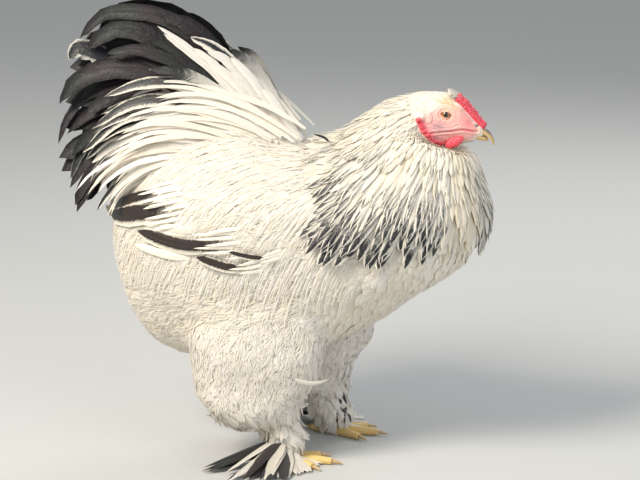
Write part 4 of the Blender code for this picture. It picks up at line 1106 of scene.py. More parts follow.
# Painted light and shade: the beads' raised tops are paler pink and the furrows between them deeper red
bright = add_node(tree, "MapRange", {"Value": beads, "From Min": 0.1, "From Max": 0.75})
colour = add_node(tree, "Mix", {0: bright, 6: linear("#F27A82"), 7: linear("#CC3244")}, 2, data_type="RGBA")
deep = add_node(tree, "MapRange", {"Value": blotch, "From Min": 0.45, "From Max": 0.75, "To Max": 0.45})
colour = add_node(tree, "Mix", {0: deep, 6: colour, 7: linear("#C9283E")}, 2, data_type="RGBA")
bump = add_node(tree, "Bump", {"Height": bright, "Distance": 0.0004, "Strength": 0.5}, invert=True)
rough = add_node(tree, "MapRange", {"Value": blotch, "To Min": 0.32, "To Max": 0.52})
feed(shader, {"Base Color": colour, "Roughness": rough, "Normal": bump})
print("material", red_material.name)

# %% Comb
COMB_ROWS = {-1: 8, 0: 10, 1: 8}  # beads in each row


def on_crown(t, angle):
    """One place on the head's skin and the way out of it."""
    t, angle = np.array([t]), np.array([angle])
    return HEAD.at(t, angle)[0], HEAD.out(t, angle)[0]


solids = []
for row, number in COMB_ROWS.items():
    for k in range(number):
        t = 0.045 + 0.43 * (k + 0.3 * abs(row)) / (number - 1 + 0.6 * abs(row))
        spot, out = on_crown(t, row * 0.34 + chance.uniform(-0.03, 0.03))
        size = (0.0031 - 0.0003 * abs(row)) * chance.uniform(0.85, 1.12)
        for deep in (0.0, 0.0028):
            high = 0.0040 - 0.0014 * abs(row) - deep
            solids.append(ball_loops(spot + out * high, (size,) * 3, rows=8, columns=12))
for k in range(54):  # the flesh that the beads grow on, three balls abreast
    spot, out = on_crown(0.05 + 0.42 * (k // 3) / 17, (-0.30, 0, 0.30)[k % 3])
    solids.append(ball_loops(spot + out * 0.0006, (0.0042,) * 3, rows=8, columns=12))
for _ in range(300):  # fine bumps
    t, angle = chance.uniform(0.03, 0.49), chance.uniform(-0.56, 0.56)
    spot, out = on_crown(t, angle)
    over = 0.0046 * math.cos(angle * 2.2) + 0.0006
    solids.append(ball_loops(spot + out * over, (chance.uniform(0.0010, 0.0017),) * 3, rows=6, columns=10))
comb = new_piece("pea_comb", *melted(solids, 0.00042, 2), red_material, "red_skin")
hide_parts("comb")
print("comb", len(COMB_ROWS), "rows of beads")

# %% Wattles
WATTLE = np.array([0.2085, 0.0165, 0.4040])
lean = np.array(Matrix.Rotation(math.radians(-30), 3, "Y"))
for side, name in SIDES.items():
    centre = WATTLE * (1, side, 1) + SHIFT
    solids = [ball_loops(centre, (0.0122, 0.0040, 0.0058), lean)]
    for along, low, size in ((-0.0065, -0.0014, 0.0056), (0.0060, -0.0010, 0.0050), (0.0005, -0.0026, 0.0050)):
        solids.append(ball_loops(centre + lean @ (along, side * 0.001, low), (size, 0.0042, size)))
    for _ in range(90):
        way = unit(chance.normal(size=3))
        spot = centre + lean @ (way * (0.0120, 0.0038, 0.0060) + (0, 0, -0.0008))
        solids.append(ball_loops(spot, (chance.uniform(0.0008, 0.0013),) * 3, rows=6, columns=8))
    wattle = new_piece("wattle_flesh_" + name, *melted(solids, 0.00045, 7), red_material, "red_skin")
    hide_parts("wattle_" + name)
print("wattles 2")

# %% [markdown]
# An earlobe is a small soft bag of paler skin below the ear. It holds less blood than a wattle, so it
# is pink, and its fine grain makes it matt.

# %% Earlobes
lobe_material, tree, shader = new_material(
    "pale earlobe skin", Subsurface_Weight=0.2, Subsurface_Scale=0.003, IOR=1.42, Specular_IOR_Level=0.4
)
spot = add_node(tree, "NewGeometry", output="Position")
grain = add_node(tree, "TexNoise", {"Vector": spot, "Scale": 500.0, "Detail": 4.0})
colour = add_node(tree, "Mix", {0: grain, 6: linear("#F3CFC2"), 7: linear("#DB9A92")}, 2, data_type="RGBA")
bump = add_node(tree, "Bump", {"Height": grain, "Distance": 0.0005, "Strength": 0.5})
rough = add_node(tree, "MapRange", {"Value": grain, "To Min": 0.45, "To Max": 0.6})
feed(shader, {"Base Color": colour, "Roughness": rough, "Normal": bump})
EARLOBE = np.array([0.1780, 0.0262, 0.4325])
for side, name in SIDES.items():
    centre = EARLOBE * (1, side, 1) + SHIFT
    solids = [ball_loops(centre - (0, side * 0.0010, 0), (0.0054, 0.0025, 0.0064))]
    solids.append(ball_loops(centre + (0.0005, -side * 0.0006, -0.0026), (0.0042, 0.0024, 0.0042)))
    lobe = new_piece("lobe_" + name, *melted(solids, 0.0005, 3), lobe_material, "earlobe_skin")
    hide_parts("earlobe_" + name)
print("earlobes 2")

# %% [markdown]
# ## Beak and claws
# A beak is bone in a sheath of horn, which grows in faint bands like a fingernail. In this bird it is
# straw yellow with a dark streak along its ridge. It is smooth and lightly polished by use.

# %% Horn
horn_material, tree, shader = new_material(
    "beak horn", Subsurface_Weight=0.08, Subsurface_Scale=0.002, IOR=1.54, Coat_Weight=0.15, Coat_Roughness=0.25
)
streak = add_node(
    tree, "SeparateXYZ", {0: add_node(tree, "Attribute", output="Vector", attribute_name="streak")}
).node.outputs
spot = add_node(tree, "NewGeometry", output="Position")
bands = add_node(tree, "CombineXYZ", {0: streak[1], 1: streak[2]})
growth = add_node(tree, "TexNoise", {"Vector": bands, "Scale": 24.0, "Detail": 3.0})
cloudy = add_node(tree, "TexNoise", {"Vector": spot, "Scale": 300.0, "Detail": 3.0})
straw = add_node(tree, "Mix", {0: growth, 6: linear("#B8925A"), 7: linear("#E2C88C")}, 2, data_type="RGBA")
slate = add_node(tree, "Mix", {0: cloudy, 6: linear("#2E2B2E"), 7: linear("#6A6463")}, 2, data_type="RGBA")
ragged = add_node(tree, "Math", {0: cloudy, 1: 0.5, 2: -0.25}, operation="MULTIPLY_ADD")
ragged = add_node(tree, "Math", {0: streak[0], 1: ragged}, operation="ADD", use_clamp=True)
colour = add_node(tree, "Mix", {0: ragged, 6: straw, 7: slate}, 2, data_type="RGBA")
bump = add_node(tree, "Bump", {"Height": growth, "Distance": 0.0003, "Strength": 0.5})
rough = add_node(tree, "MapRange", {"Value": cloudy, "To Min": 0.30, "To Max": 0.46})
feed(shader, {"Base Color": colour, "Roughness": rough, "Normal": bump})
print("material", horn_material.name)

# %% Beak
UPPER_BEAK = Skin([
    (0.2360, 0.4232, 0.2360, 0.0098, 0.4172, 0.2360, 0.4112, 0),
    (0.2415, 0.4204, 0.2405, 0.0086, 0.4152, 0.2400, 0.4104, 0),
    (0.2465, 0.4176, 0.2455, 0.0074, 0.4124, 0.2450, 0.4090, 0),
    (0.2515, 0.4122, 0.2500, 0.0055, 0.4080, 0.2495, 0.4060, 0),
    (0.2550, 0.4055, 0.2535, 0.0034, 0.4030, 0.2525, 0.4020, 0),
    (0.2560, 0.3985, 0.2550, 0.0012, 0.3980, 0.2540, 0.3975, 0),
])
LOWER_BEAK = Skin([
    (0.2350, 0.4112, 0.2350, 0.0086, 0.4086, 0.2350, 0.4036, 0),
    (0.2440, 0.4086, 0.2440, 0.0056, 0.4070, 0.2435, 0.4030, 0),
    (0.2480, 0.4052, 0.2478, 0.0028, 0.4042, 0.2475, 0.4025, 0),
])
for name, horn_skin, dark in (("upper_beak", UPPER_BEAK, 1.35), ("lower_beak", LOWER_BEAK, 0.15)):
    t, angle = grid_round(60, 64)
    loops = horn_skin.bare(t, angle)
    ridge = 0.0005 * bell(angle, 0.30) * (name == "upper_beak")
    loops = loops + horn_skin.out(t, angle) * (ridge + 0.00002 * np.sin(40 * t))[..., None]
    corners, faces = closed(loops)
    mask = dark * bell(angle, 1.0) * (1 - 0.85 * smooth(t, 0.35, 0.85))
    fact = np.stack([np.clip(mask, 0, 1), t, np.abs(angle) * 0.08], -1).reshape(-1, 3)
    facts = {"streak": np.concatenate([fact, fact[[0, -1]]])}
    beak = new_piece("horn_" + name, corners, faces, horn_material, "horn", facts=facts)
    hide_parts(name)
print("beak halves 2")

# %% Claws
corners, faces = joined(*claw_meshes)
fact = np.zeros_like(corners)
fact[:, 1] = np.linalg.norm(corners[:, :2], axis=1) * 40
fact[:, 0] = 0.25
claws = new_piece("horn_claws", corners, faces, horn_material, "horn", facts={"streak": fact})
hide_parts(*[f"claw_{toe}_{side}" for toe in TOES for side in SIDES.values()])
print("claws", len(claw_meshes))

# %% [markdown]
# ## The coats
# Rows of feathers go on from the lowest layer to the highest. Body feathers first: short and scaly on
# the breast, longer and softer to the rear.


# %% Feathers of the body
def tints(number, warmth, grey=0.0, spread=0.5):
    """Tone, warmth and greyness for feathers that vary a little."""
    tone = chance.uniform(0.5 - spread, 0.5 + spread, number)
    warm = np.clip(warmth + chance.normal(0, 0.12, number), 0, 1)
    return tone, warm, np.clip(grey + chance.normal(0, 0.03, number), 0, 1)


def add_wisps(coat, skin, t, angle, heading, loose_t, loose_angle):
    """Loose barbs over a coat, which soften the edges of its feathers."""
    number = len(t)
    t = t + chance.uniform(-loose_t, loose_t, number)
    angle = angle + chance.uniform(-loose_angle, loose_angle, number)
    coat.grow(skin, t, angle, heading + chance.normal(0, 0.35, number), 0.024 * chance.uniform(0.6, 1.3, number),
              rows=6, sink=0.0, rise=0.0020, curl=0.0010, turn=chance.normal(0, 0.5, number), half=0.0009,
              form="strand", columns=1, camber=0, roll=0.2, fray=0.0, tint=tints(number, 0.2, spread=0.3), rounded=0)


RIM_X = (0.026, 0.029, 0.050, 0.079, 0.123, 0.178, 0.200, 0.217, 0.245)
RIM_Z = (0.400, 0.290, 0.283, 0.268, 0.274, 0.266, 0.276, 0.270, 0.285)
t, angle = rows_of_roots(TORSO, 0.02, 0.99, row_gap=0.0094, gap=0.0098)
x, _, z = (TORSO.at(t, angle) - SHIFT).T
keep = (x <= 0.045) | (z <= np.interp(x, RIM_X, RIM_Z) + 0.028)  # the rest is hidden by the hackle
t, angle = t[keep], angle[keep]
low = smooth(-np.cos(angle), -0.3, 0.8)
rear = smooth(t, 0.30, 0.62)
for name, start, end in (("breast_coat", 0.0, 0.40), ("flank_coat", 0.40, 0.72), ("rump_coat", 0.72, 1.0)):
    chosen = (t >= start) & (t < end)
    a, b, number, soft = t[chosen], angle[chosen], int(chosen.sum()), rear[chosen]
    scaly = name == "breast_coat"
    coat = Coat(name, "white_feather")
    length = (0.025 + 0.020 * soft) * chance.uniform(0.88, 1.20, number)
    heading = 0.22 * np.sin(np.abs(b)) + 0.40 * soft * low[chosen] + chance.normal(0, 0.09, number)
    coat.grow(TORSO, a, b, heading, length, rows=7, sink=0.0045, rise=0.0018 if scaly else 0.0009, curl=0.0003,
              turn=0.15, half=0.0072 + 0.0010 * soft, form="body", columns=4, camber=0.20 if scaly else 0.08,
              roll=0.03, fray=0.15 + 0.40 * soft[:, None, None],
              tint=tints(number, 0.22 + 0.10 * low[chosen], spread=0.3))
    for _ in range(0 if scaly else 2):
        add_wisps(coat, TORSO, a, b, heading, 0.02, 0.05)
    coat.finish(WHITE_FEATHER)

# %% [markdown]
# The hackle is a cape of long narrow feathers. Those of the crown are white, and further down each
# has a black stripe that widens towards its tip inside a cream margin. The lowest are the boldest.

# %% Hackle
coat = Coat("hackle_coat", "hackle_feather")
for start, end, row_gap, gap, reach in (  # the short feathers of the upper edge come first
    (-0.03, 0.15, 0.0050, 0.0026, 0.09), (-0.17, 0.44, 0.0105, 0.0036, 0.25), (0.46, 0.84, 0.0150, 0.0080, 0.25)
):
    t, angle = rows_of_roots(CAPE, start, end, row_gap, gap, jitter=0.5)
    bearing, short = np.abs(angle), reach < 0.2
    keep = (bearing > 1.1) if short else (t > 0.02) | (bearing < 1.2)
    t, angle, bearing = t[keep], angle[keep], bearing[keep]
    number = len(t)
    low = smooth(t, -0.05, 0.80)
    along, _ = CAPE.spans(t, angle)
    tip = np.minimum(t + reach + 0.12 * low, 1.0 + chance.uniform(-0.14, 0.03, number))
    length = (tip - t) * np.linalg.norm(along, axis=1)
    rise = 0.0018 - 0.0050 * smooth(t, 0.50, 0.8) + 0.0085 * low * bell(bearing - 1.0, 0.38)
    sink = (0.0012 if short else 0.0020) + 0.0045 * smooth(t, 0.10, 0.35)
    path, outs = lay(CAPE, t, angle, chance.normal(0, 0.05, number), length, 9, sink, rise, 0.0008,
                     chance.normal(0, 0.06, number))
    plain = smooth(bearing, 2.28, 2.48) * (1 - smooth(bearing, 2.72, 2.9))
    nape = 1 - smooth(bearing, 0.50, 1.05)
    bold = smooth(tip, 0.38, 1.0) * (1 - 0.85 * plain) * (1 - 0.88 * nape) * (1 - 0.4 * smooth(bearing, 2.75, 2.9))
    marked = chance.uniform(0, 1, number) < 0.28 + 0.9 * bold
    begin = np.where(marked, 0.96 - 0.38 * bold + chance.normal(0, 0.06, number), 2.0)
    wide = 0.26 + 0.32 * bold + chance.normal(0, 0.05, number)
    streaky = 0.13 * smooth(tip, 0.4, 0.8) * (1 - plain) + chance.uniform(0, 0.25, number) * nape
    half = (0.0017 if short else 0.0028) + 0.0062 * low**1.5
    coat.add(path, outs, half, root_places((t + 0.2) / 1.1, angle), "hackle", columns=4, camber=0.18, roll=0.08,
             fray=0.20, pattern=(begin, wide, chance.normal(0, 0.06, number)),
             tint=tints(number, 0.30 + 0.35 * plain, streaky), rounded=0.40)
coat.finish(LACED_FEATHER)

# %% [markdown]
# Over the back lie the saddle feathers, long and narrow, and they flow down over the wings. A cushion
# of the same white feathers climbs the root of the tail.

# %% Saddle and cushion
coat = Coat("saddle_coat", "white_feather")
t, angle = rows_of_roots(TORSO, 0.27, 0.74, row_gap=0.0190, gap=0.0021, arc=(-1.35, 1.35), jitter=0.9)
number, bearing = len(t), np.abs(angle)
length = (0.078 + 0.040 * smooth(bearing, 0.2, 1.0)) * chance.uniform(0.85, 1.2, number)
coat.grow(TORSO, t, angle, 0.22 + 0.35 * bearing + chance.normal(0, 0.06, number), length, rows=11, sink=0.0060,
          rise=0.0018, curl=0.0006, turn=0.30 + 0.25 * bearing, band=(0.0, 0.5), half=0.0028, form="saddle",
          columns=2, camber=0.10, roll=0.06, fray=0.35, tint=tints(number, 0.20, spread=0.35))
# The cushion's feathers are painted greyer towards the tail's upper edge: a painted shade.
t, angle = rows_of_roots(TAIL, -0.12, 0.66, row_gap=0.0140, gap=0.0032, arc=(-1.6, 1.6), jitter=0.7)
number = len(t)
length = 0.058 * chance.uniform(0.8, 1.25, number)
coat.grow(TAIL, t, angle, 0.55 + chance.normal(0, 0.12, number), length, rows=10, sink=0.0130, rise=0.003,
          curl=0.001, turn=0.55, band=(0.5, 1.0), half=0.0036, form="saddle", columns=2, camber=0.15, roll=0.10,
          fray=0.45, tint=tints(number, 0.15, 0.14 * (1 - smooth(np.abs(angle), 0.5, 1.0)), 0.4))
coat.finish(WHITE_FEATHER)

# %% [markdown]
# ## The tail
# A cock's tail is a steep tent of stiff main feathers under bowed sickles and coverts. Each plume is a
# long vane that leaves the rump up and back and bows over under its own curve.


# %% Plumes of the tail
def bowed(root, heading, bend, flare, side, length, rows=16):
    """Paths of plumes that bow over backwards, and the outer sides of their blades."""
    points, outs = [root], []
    for i in range(rows):
        s = min((i + 0.5) / (rows - 1), 1.0)
        turned = heading + bend * s**1.6
        lie = unit(np.stack([np.cos(turned), side * flare, np.sin(turned)], -1))
        over = np.stack([lie[:, 2], 0 * turned, -lie[:, 0]], -1)
        out = np.stack([0 * turned, side * 0.85, 0 * turned], -1) + over * 0.5
        outs.append(unit(out - lie * (out * lie).sum(-1, keepdims=True)))
        if i < rows - 1:
            points.append(points[-1] + lie * (length / (rows - 1))[:, None])
    return np.stack(points, 1), np.stack(outs, 1)


def fan(number, heading, bend, roots, ys, flare, length, jitter=1.0):
    """Roots and curves of plumes from the uppermost to the lowest, on both sides of the tail."""
    f = np.tile(np.linspace(0, 1, number), 2)
    side = np.repeat([RIGHT, LEFT], number)

    def between(ends):
        return ends[0] + (ends[1] - ends[0]) * f

    def loose(size):
        return chance.normal(0, size * jitter, 2 * number)

    x, z = between((roots[0][0], roots[1][0])), between((roots[0][1], roots[1][1]))
    root = np.stack([x + loose(0.003), side * (between(ys) + loose(0.0015)), z + loose(0.003)], -1) + SHIFT
    turned = np.radians(between(heading) + loose(2.0))
    return bowed(root, turned, np.radians(between(bend) + loose(3.0)), between(flare) + loose(0.02), side,
                 between(length) * (1 + loose(0.03)))


def tail_roots(path):
    """Where plumes start on an unwrap of the tail seen from the side, left and right apart."""
    x, y, z = (path[:, 0] - SHIFT).T
    across = np.where(y > 0, 0.02, 0.52) + 0.46 * np.clip((x + 0.25) / 0.35, 0, 1)
    return np.stack([across, np.clip((z - 0.3) / 0.3, 0.01, 0.99)], -1)


plumes = Coat("tail_plumes", "black_feather", ["tail"])
for sizes, half, form in (  # number, heading, bend, roots, distances from the middle, flare, lengths
    ((8, (131, 172), (58, 52), ((-0.056, 0.428), (-0.112, 0.392)), (0.006, 0.026), (0.04, 0.14),
      (0.222, 0.185)), 0.017, "flight"),
    ((8, (129, 184), (91, 80), ((-0.040, 0.436), (-0.112, 0.400)), (0.012, 0.034), (0.06, 0.22),
      (0.255, 0.190)), 0.014, "sickle"),
):
    path, outs = fan(*sizes)
    plumes.add(path, outs, half, tail_roots(path), form, columns=8, camber=0.22, roll=0.12, fray=0.20,
               pattern=(-1, 3, 0), tint=tints(len(path), 0.35, 0.05))

# %% [markdown]
# The plumes that show best are drawn one by one, as points (x, z) from the root to the tip. Each
# also has its distance from the middle at both ends, its half width and its plumage. The other side
# of the tail gets the same plumes, a little shifted.

# %% Plumes drawn one by one
lacing = Coat("tail_lacing", "black_feather")
cushion = Coat("tail_cushion", "white_feather")
ALL, TIPPED, LACED = (-1, 3, 0), (0.42, 3, 0), (0.05, 0.66, 0.1)
# On the white plumes along the tail's front edge, the greyness is a painted shade.
DRAWN = [  # coat, points, distances from the middle, half width, form, pattern, warmth, greyness
    (plumes, [(-50, 440), (-92, 502), (-130, 535), (-165, 551), (-214, 554), (-240, 543), (-259, 520)],
     (14, 34), 12, "sickle", ALL, 0.35, 0),
    (plumes, [(-70, 440), (-120, 500), (-153, 517), (-178, 530), (-210, 534), (-234, 522), (-245, 508)],
     (20, 44), 15, "sickle", ALL, 0.5, 0.1),
    (lacing, [(-110, 440), (-170, 478), (-220, 494), (-244, 506), (-262, 508), (-270, 494)],
     (18, 46), 15, "flight", (-1, 0.80, 0), 0.2, 0.2),
    (plumes, [(-60, 440), (-88, 470), (-115, 487), (-147, 502), (-185, 510), (-220, 504)],
     (30, 50), 11, "sickle", ALL, 0.1, 0),
    (plumes, [(-80, 425), (-138, 468), (-179, 485), (-230, 484), (-264, 466), (-279, 441)],
     (30, 58), 17, "sickle", ALL, 0.75, 0.12),
    (plumes, [(-170, 450), (-225, 458), (-257, 445), (-268, 432), (-278, 414), (-284, 390)],
     (26, 52), 8, "sickle", ALL, 0.0, 0),
    (plumes, [(-120, 440), (-180, 452), (-208, 451), (-228, 444), (-244, 432)],
     (30, 58), 10, "flight", ALL, 0.0, 0),
    (lacing, [(-150, 430), (-195, 440), (-221, 430), (-243, 405), (-260, 374), (-269, 345)],
     (26, 54), 11, "saddle", (0.2, 0.9, 0), 0.4, 0.55),
    (plumes, [(-165, 395), (-205, 372), (-228, 354), (-236, 339), (-246, 320)],
     (30, 58), 10, "sickle", ALL, 0.2, 0),
    (cushion, [(-110, 425), (-165, 415), (-206, 396), (-229, 378), (-246, 352)],
     (36, 62), 9, "flight", PLAIN, 0.2, 0),
    (cushion, [(-40, 432), (-70, 462), (-96, 488), (-124, 510), (-150, 529)],
     (30, 40), 4.4, "body", PLAIN, 0.1, 0.05),
    (cushion, [(-46, 440), (-72, 470), (-100, 497), (-130, 520), (-158, 538)],
     (29, 38), 4.0, "body", PLAIN, 0.1, 0.1),
    (cushion, [(-36, 440), (-62, 468), (-88, 494), (-112, 512)], (31, 38), 5.0, "body", PLAIN, 0.2, 0.14),
    (plumes, [(-50, 450), (-78, 490), (-102, 521), (-127, 540), (-156, 548)],
     (12, 26), 12, "sickle", ALL, 0.2, 0),
    (plumes, [(-70, 440), (-104, 486), (-135, 510), (-165, 520)], (26, 42), 9, "sickle", ALL, 0.8, 0.15),
    (cushion, [(0, 404), (-26, 440), (-52, 474), (-76, 498), (-98, 507)],
     (16, 30), 7, "body", PLAIN, 0.05, 0.16),
    (cushion, [(-4, 412), (-24, 446), (-46, 478), (-68, 500)], (18, 27), 6, "body", PLAIN, 0.1, 0.1),
    (cushion, [(-12, 412), (-42, 448), (-68, 476), (-94, 495)], (22, 35), 7, "body", PLAIN, 0.1, 0.05),
    (lacing, [(0, 420), (-24, 462), (-46, 492), (-72, 510)], (8, 18), 8, "sickle", (0.70, 3, 0), 0.1, 0.25),
    (cushion, [(12, 404), (-10, 434), (-30, 462), (-48, 482)], (10, 18), 6, "body", PLAIN, 0.1, 0.2),
    (cushion, [(18, 398), (0, 422), (-16, 446), (-30, 462)], (14, 22), 6, "body", PLAIN, 0.1, 0.12),
    (lacing, [(-70, 440), (-110, 462), (-145, 471), (-182, 467), (-220, 452)],
     (38, 60), 9, "sickle", LACED, 0.4, 0),
    (lacing, [(-80, 425), (-125, 444), (-158, 449), (-196, 440), (-236, 412)],
     (40, 63), 10, "sickle", LACED, 0.4, 0),
    (lacing, [(-90, 410), (-140, 430), (-172, 433), (-208, 420), (-248, 382)],
     (42, 66), 10, "sickle", LACED, 0.4, 0),
    (lacing, [(-150, 400), (-190, 408), (-222, 398), (-246, 372)], (40, 60), 8, "sickle", LACED, 0.3, 0.1),
    (lacing, [(-60, 450), (-100, 472), (-132, 484), (-165, 486)], (36, 54), 8, "sickle", TIPPED, 0.2, 0),
    (lacing, [(-30, 452), (-62, 488), (-92, 512), (-118, 524)],
     (16, 30), 9, "saddle", (0.2, 0.4, 0.2), 0.2, 0.2),
]


def drawn(points, ys, side, rows):
    """A path through points (x, z) in millimetres, and the outer side of the blade along it."""
    points = np.array(points, float) / 1000
    curve = through(points, np.linspace(0, len(points) - 1, rows))
    y = side * np.linspace(ys[0], ys[1], rows) / 1000
    path = np.stack([curve[:, 0], y, curve[:, 1]], -1) + SHIFT
    lie = unit(np.gradient(path, axis=0))
    out = np.stack([lie[:, 2] * 0.5, np.full(rows, side * 0.85), -lie[:, 0] * 0.5], -1)
    return path, unit(out - lie * (out * lie).sum(-1, keepdims=True))


for coat, points, ys, half, form, pattern, warmth, grey in DRAWN:
    for side in SIDES:
        looser = np.linspace(0.2, 1, len(points))[:, None]
        shifted = np.array(points) + (side > 0) * chance.normal(0, 4, (len(points), 2)) * looser
        path, outs = drawn(shifted, ys, side, 18)
        coat.add(path[None], outs[None], half / 1000, tail_roots(path[None]), form, columns=8, camber=0.18, roll=0.05,
                 fray=0.30, pattern=pattern, tint=([chance.uniform(0.2, 0.9)], warmth, grey), rounded=0.4)
plumes.finish(BLACK_FEATHER)

# %% [markdown]
# White coverts sweep from the saddle over the base of the tail and end in points that hang over its
# lower edge. They are the same curves as the plumes, only shorter and softer.

# %% White and laced coverts
for coat, sizes, half, pattern in (  # sizes as above
    (cushion, (36, (138, 178), (52, 66), ((0.018, 0.404), (-0.104, 0.384)), (0.030, 0.060),
     (0.14, 0.22), (0.178, 0.150)), 0.0042, PLAIN),
    (cushion, (30, (146, 186), (60, 70), ((-0.010, 0.402), (-0.120, 0.372)), (0.040, 0.064),
     (0.12, 0.20), (0.150, 0.126)), 0.0040, PLAIN),
    (cushion, (16, (126, 150), (46, 60), ((0.012, 0.410), (-0.050, 0.430)), (0.004, 0.026),
     (0.04, 0.12), (0.112, 0.140)), 0.0045, PLAIN),
    (lacing, (9, (150, 184), (60, 70), ((-0.070, 0.420), (-0.124, 0.378)), (0.034, 0.052),
     (0.12, 0.20), (0.170, 0.130)), 0.0070, LACED),
):
    path, outs = fan(*sizes, 1.6)
    coat.add(path, outs, half, tail_roots(path), "saddle", columns=4, camber=0.15, roll=0.10, fray=0.45,
             pattern=pattern, tint=tints(len(path), 0.25, 0.03))
lacing.finish(LACED_FEATHER)
cushion.finish(WHITE_FEATHER)

# %% [markdown]
# The folded wing hides under the plumage of the flank, and only the dark webs of some flight feathers
# show, each with a cream lower edge. They are drawn on the flank too: rays from the side find the
# body below each point.

# %% Flight feathers that show
body_faces = [tuple(f) for kind in body_mesh[1] for f in kind]
body_tree = BVHTree.FromPolygons([Vector(c) for c in body_mesh[0]], body_faces)


def on_flank(points, side, rows, lift):
    """A path in millimetres (x, z) laid on the body's side, and the outer side of the blade."""
    flat, _ = drawn(points, (0, 0), side, rows)
    path, outs = flat.copy(), np.empty_like(flat)
    for k, spot in enumerate(flat):
        hit, normal, _, _ = body_tree.ray_cast(Vector((spot[0], side * 0.3, spot[2])), Vector((0, -side, 0)))
        outs[k] = normal if normal.y * side > 0 else -normal
        path[k] = np.array(hit) + outs[k] * lift[k]
    return path, outs


flights = Coat("wing_flights", "white_feather")
for layer, (points, half, pattern, grey) in enumerate((  # the later ones lie over the earlier ones
    ([(-60, 306), (-110, 300), (-176, 306)], 6, PLAIN, 0.1),
    ([(-70, 300), (-120, 292), (-160, 296)], 4, PLAIN, 0.0),
    ([(-80, 268), (-120, 266), (-172, 274)], 6, PLAIN, 0.0),
    ([(-118, 342), (-168, 329), (-216, 306)], 9, (0.22, 0.82, 0.25), 0.0),
    ([(-104, 322), (-155, 313), (-213, 298)], 14, (0.20, 0.80, 0.22), 0.0),
    ([(-30, 286), (-76, 281), (-118, 281), (-168, 292)], 11.5, (0.15, 0.76, 0.25), 0.0),
    ([(-12, 258), (-50, 258), (-90, 269)], 7.5, (0.2, 0.72, 0.2), 0.0),
    ([(8, 270), (-18, 273), (-47, 279)], 4.5, (0.2, 0.7, 0.2), 0.1),
)):
    for side in SIDES:
        rows = 12
        lift = 0.0088 + 0.0005 * layer - 0.012 * (1 - np.linspace(0, 1, rows)) ** 3
        path, outs = on_flank(points, side, rows, lift)
        root = np.array([[0.3 + 0.2 * side + points[0][0] / 1000, points[0][1] / 500]])
        flights.add(path[None], outs[None], half / 1000, root, "flight", columns=8, camber=0.12, roll=0.03,
                    fray=0.25, pattern=pattern, tint=([chance.uniform(0.2, 0.8)], 0.3, grey))
        first, last = np.array(points[0]), np.array(points[-1])
        for k in range(6 if pattern is not PLAIN else 0):  # white ones hide where the dark begins
            low = half * (k / 2.5 - 1) * 1.1
            end = first + (last - first) * chance.uniform(0.22, 0.48) + (0, low)
            over = [tuple(first + (22, low + 9)), tuple((first + end) / 2 + (9, low * 0.6 + 4)), tuple(end)]
            path, outs = on_flank(over, side, rows, -0.003 + 0.0175 * np.linspace(0, 1, rows) ** 0.8)
            flights.add(path[None], outs[None], 0.0026, root, "saddle", columns=2, camber=0.1, roll=0.05, fray=0.3,
                        tint=([chance.uniform(0.3, 0.7)], 0.2, 0.0))
flights.finish(FLIGHT_FEATHER)

# %% [markdown]
# Down covers the thighs to the feet. A slow noise turns neighbours the same way, so that they fall in
# locks, and tufts that curl out of them break the outline up, more of them further down.

# %% Thighs, in loose locks of down
for side, name in SIDES.items():
    coat, thigh = Coat("thigh_down_" + name, "leg_feather"), THIGHS[side]
    t, angle = rows_of_roots(thigh, 0.02, 0.99, row_gap=0.0072, gap=0.0074)
    number = len(t)
    length = 0.034 * chance.uniform(0.8, 1.25, number) * (1 - 0.35 * smooth(t, 0.8, 1.0))
    drift = 0.5 * lumps(thigh.at(t, angle), 0.030, 31)
    coat.grow(thigh, t, angle, drift, length, rows=8, sink=0.0045, rise=0.0010, curl=0.0010, turn=0.6 * drift,
              half=0.0058, form="down", columns=4, camber=0.08, roll=0.06, fray=0.6,
              tint=tints(number, 0.2, spread=0.3), rounded=0.2)
    for _ in range(3):
        add_wisps(coat, thigh, t, angle, drift, 0.03, 0.1)
    number = 210
    t, angle = 0.88 - 0.60 * chance.uniform(0, 1, number) ** 1.5, chance.uniform(-math.pi, math.pi, number)
    coat.grow(thigh, t, angle, chance.normal(0, 0.5, number), 0.036 * chance.uniform(0.7, 1.3, number), rows=9,
              sink=0.0060, rise=0.0010 + 0.0030 * t, curl=0.0050 * t, turn=chance.normal(0, 0.9, number),
              half=0.0060, form="down", columns=6, camber=0.25, roll=0.2, fray=0.6, tint=tints(number, 0.25),
              rounded=0.2)
    coat.finish(DOWN)

# %% [markdown]
# The head's feathers are the shortest. They begin at the edge of the bare face, where they are half as
# long, and leave the comb free. Stiff white bristles stand up round the comb's rear end.

# %% Feathers of the head
t, angle = rows_of_roots(HEAD, 0.16, 1.0, row_gap=0.0030, gap=0.0022)
x, _, z = (HEAD.at(t, angle) - SHIFT).T
edge = bareness(x, z) * smooth(np.abs(np.sin(angle)), 0.30, 0.5)
keep = (edge < 0.97) & ~((t < 0.46) & (np.abs(angle) < 0.62))
t, angle, x, z, edge = (values[keep] for values in (t, angle, x, z, edge))
number = len(t)
length = 0.0085 * chance.uniform(0.8, 1.25, number) * (1 - 0.5 * edge)
coat = Coat("head_coat", "white_feather")
coat.grow(HEAD, t, angle, chance.normal(0.1, 0.12, number), length, rows=5, sink=0.0004, rise=0.0010, curl=0.0002,
          band=(0.0, 0.8), half=0.0013, form="body", columns=2, camber=0.15, roll=0.06, fray=0.2,
          tint=tints(number, 0.1 + buff_brow(x, z), spread=0.3))
number = 150  # bristles
t, angle = chance.uniform(0.475, 0.58, number), chance.uniform(-0.50, 0.50, number)
way = np.where(chance.uniform(0, 1, number) < 0.4, math.pi, 0.0) + chance.normal(0, 0.5, number)
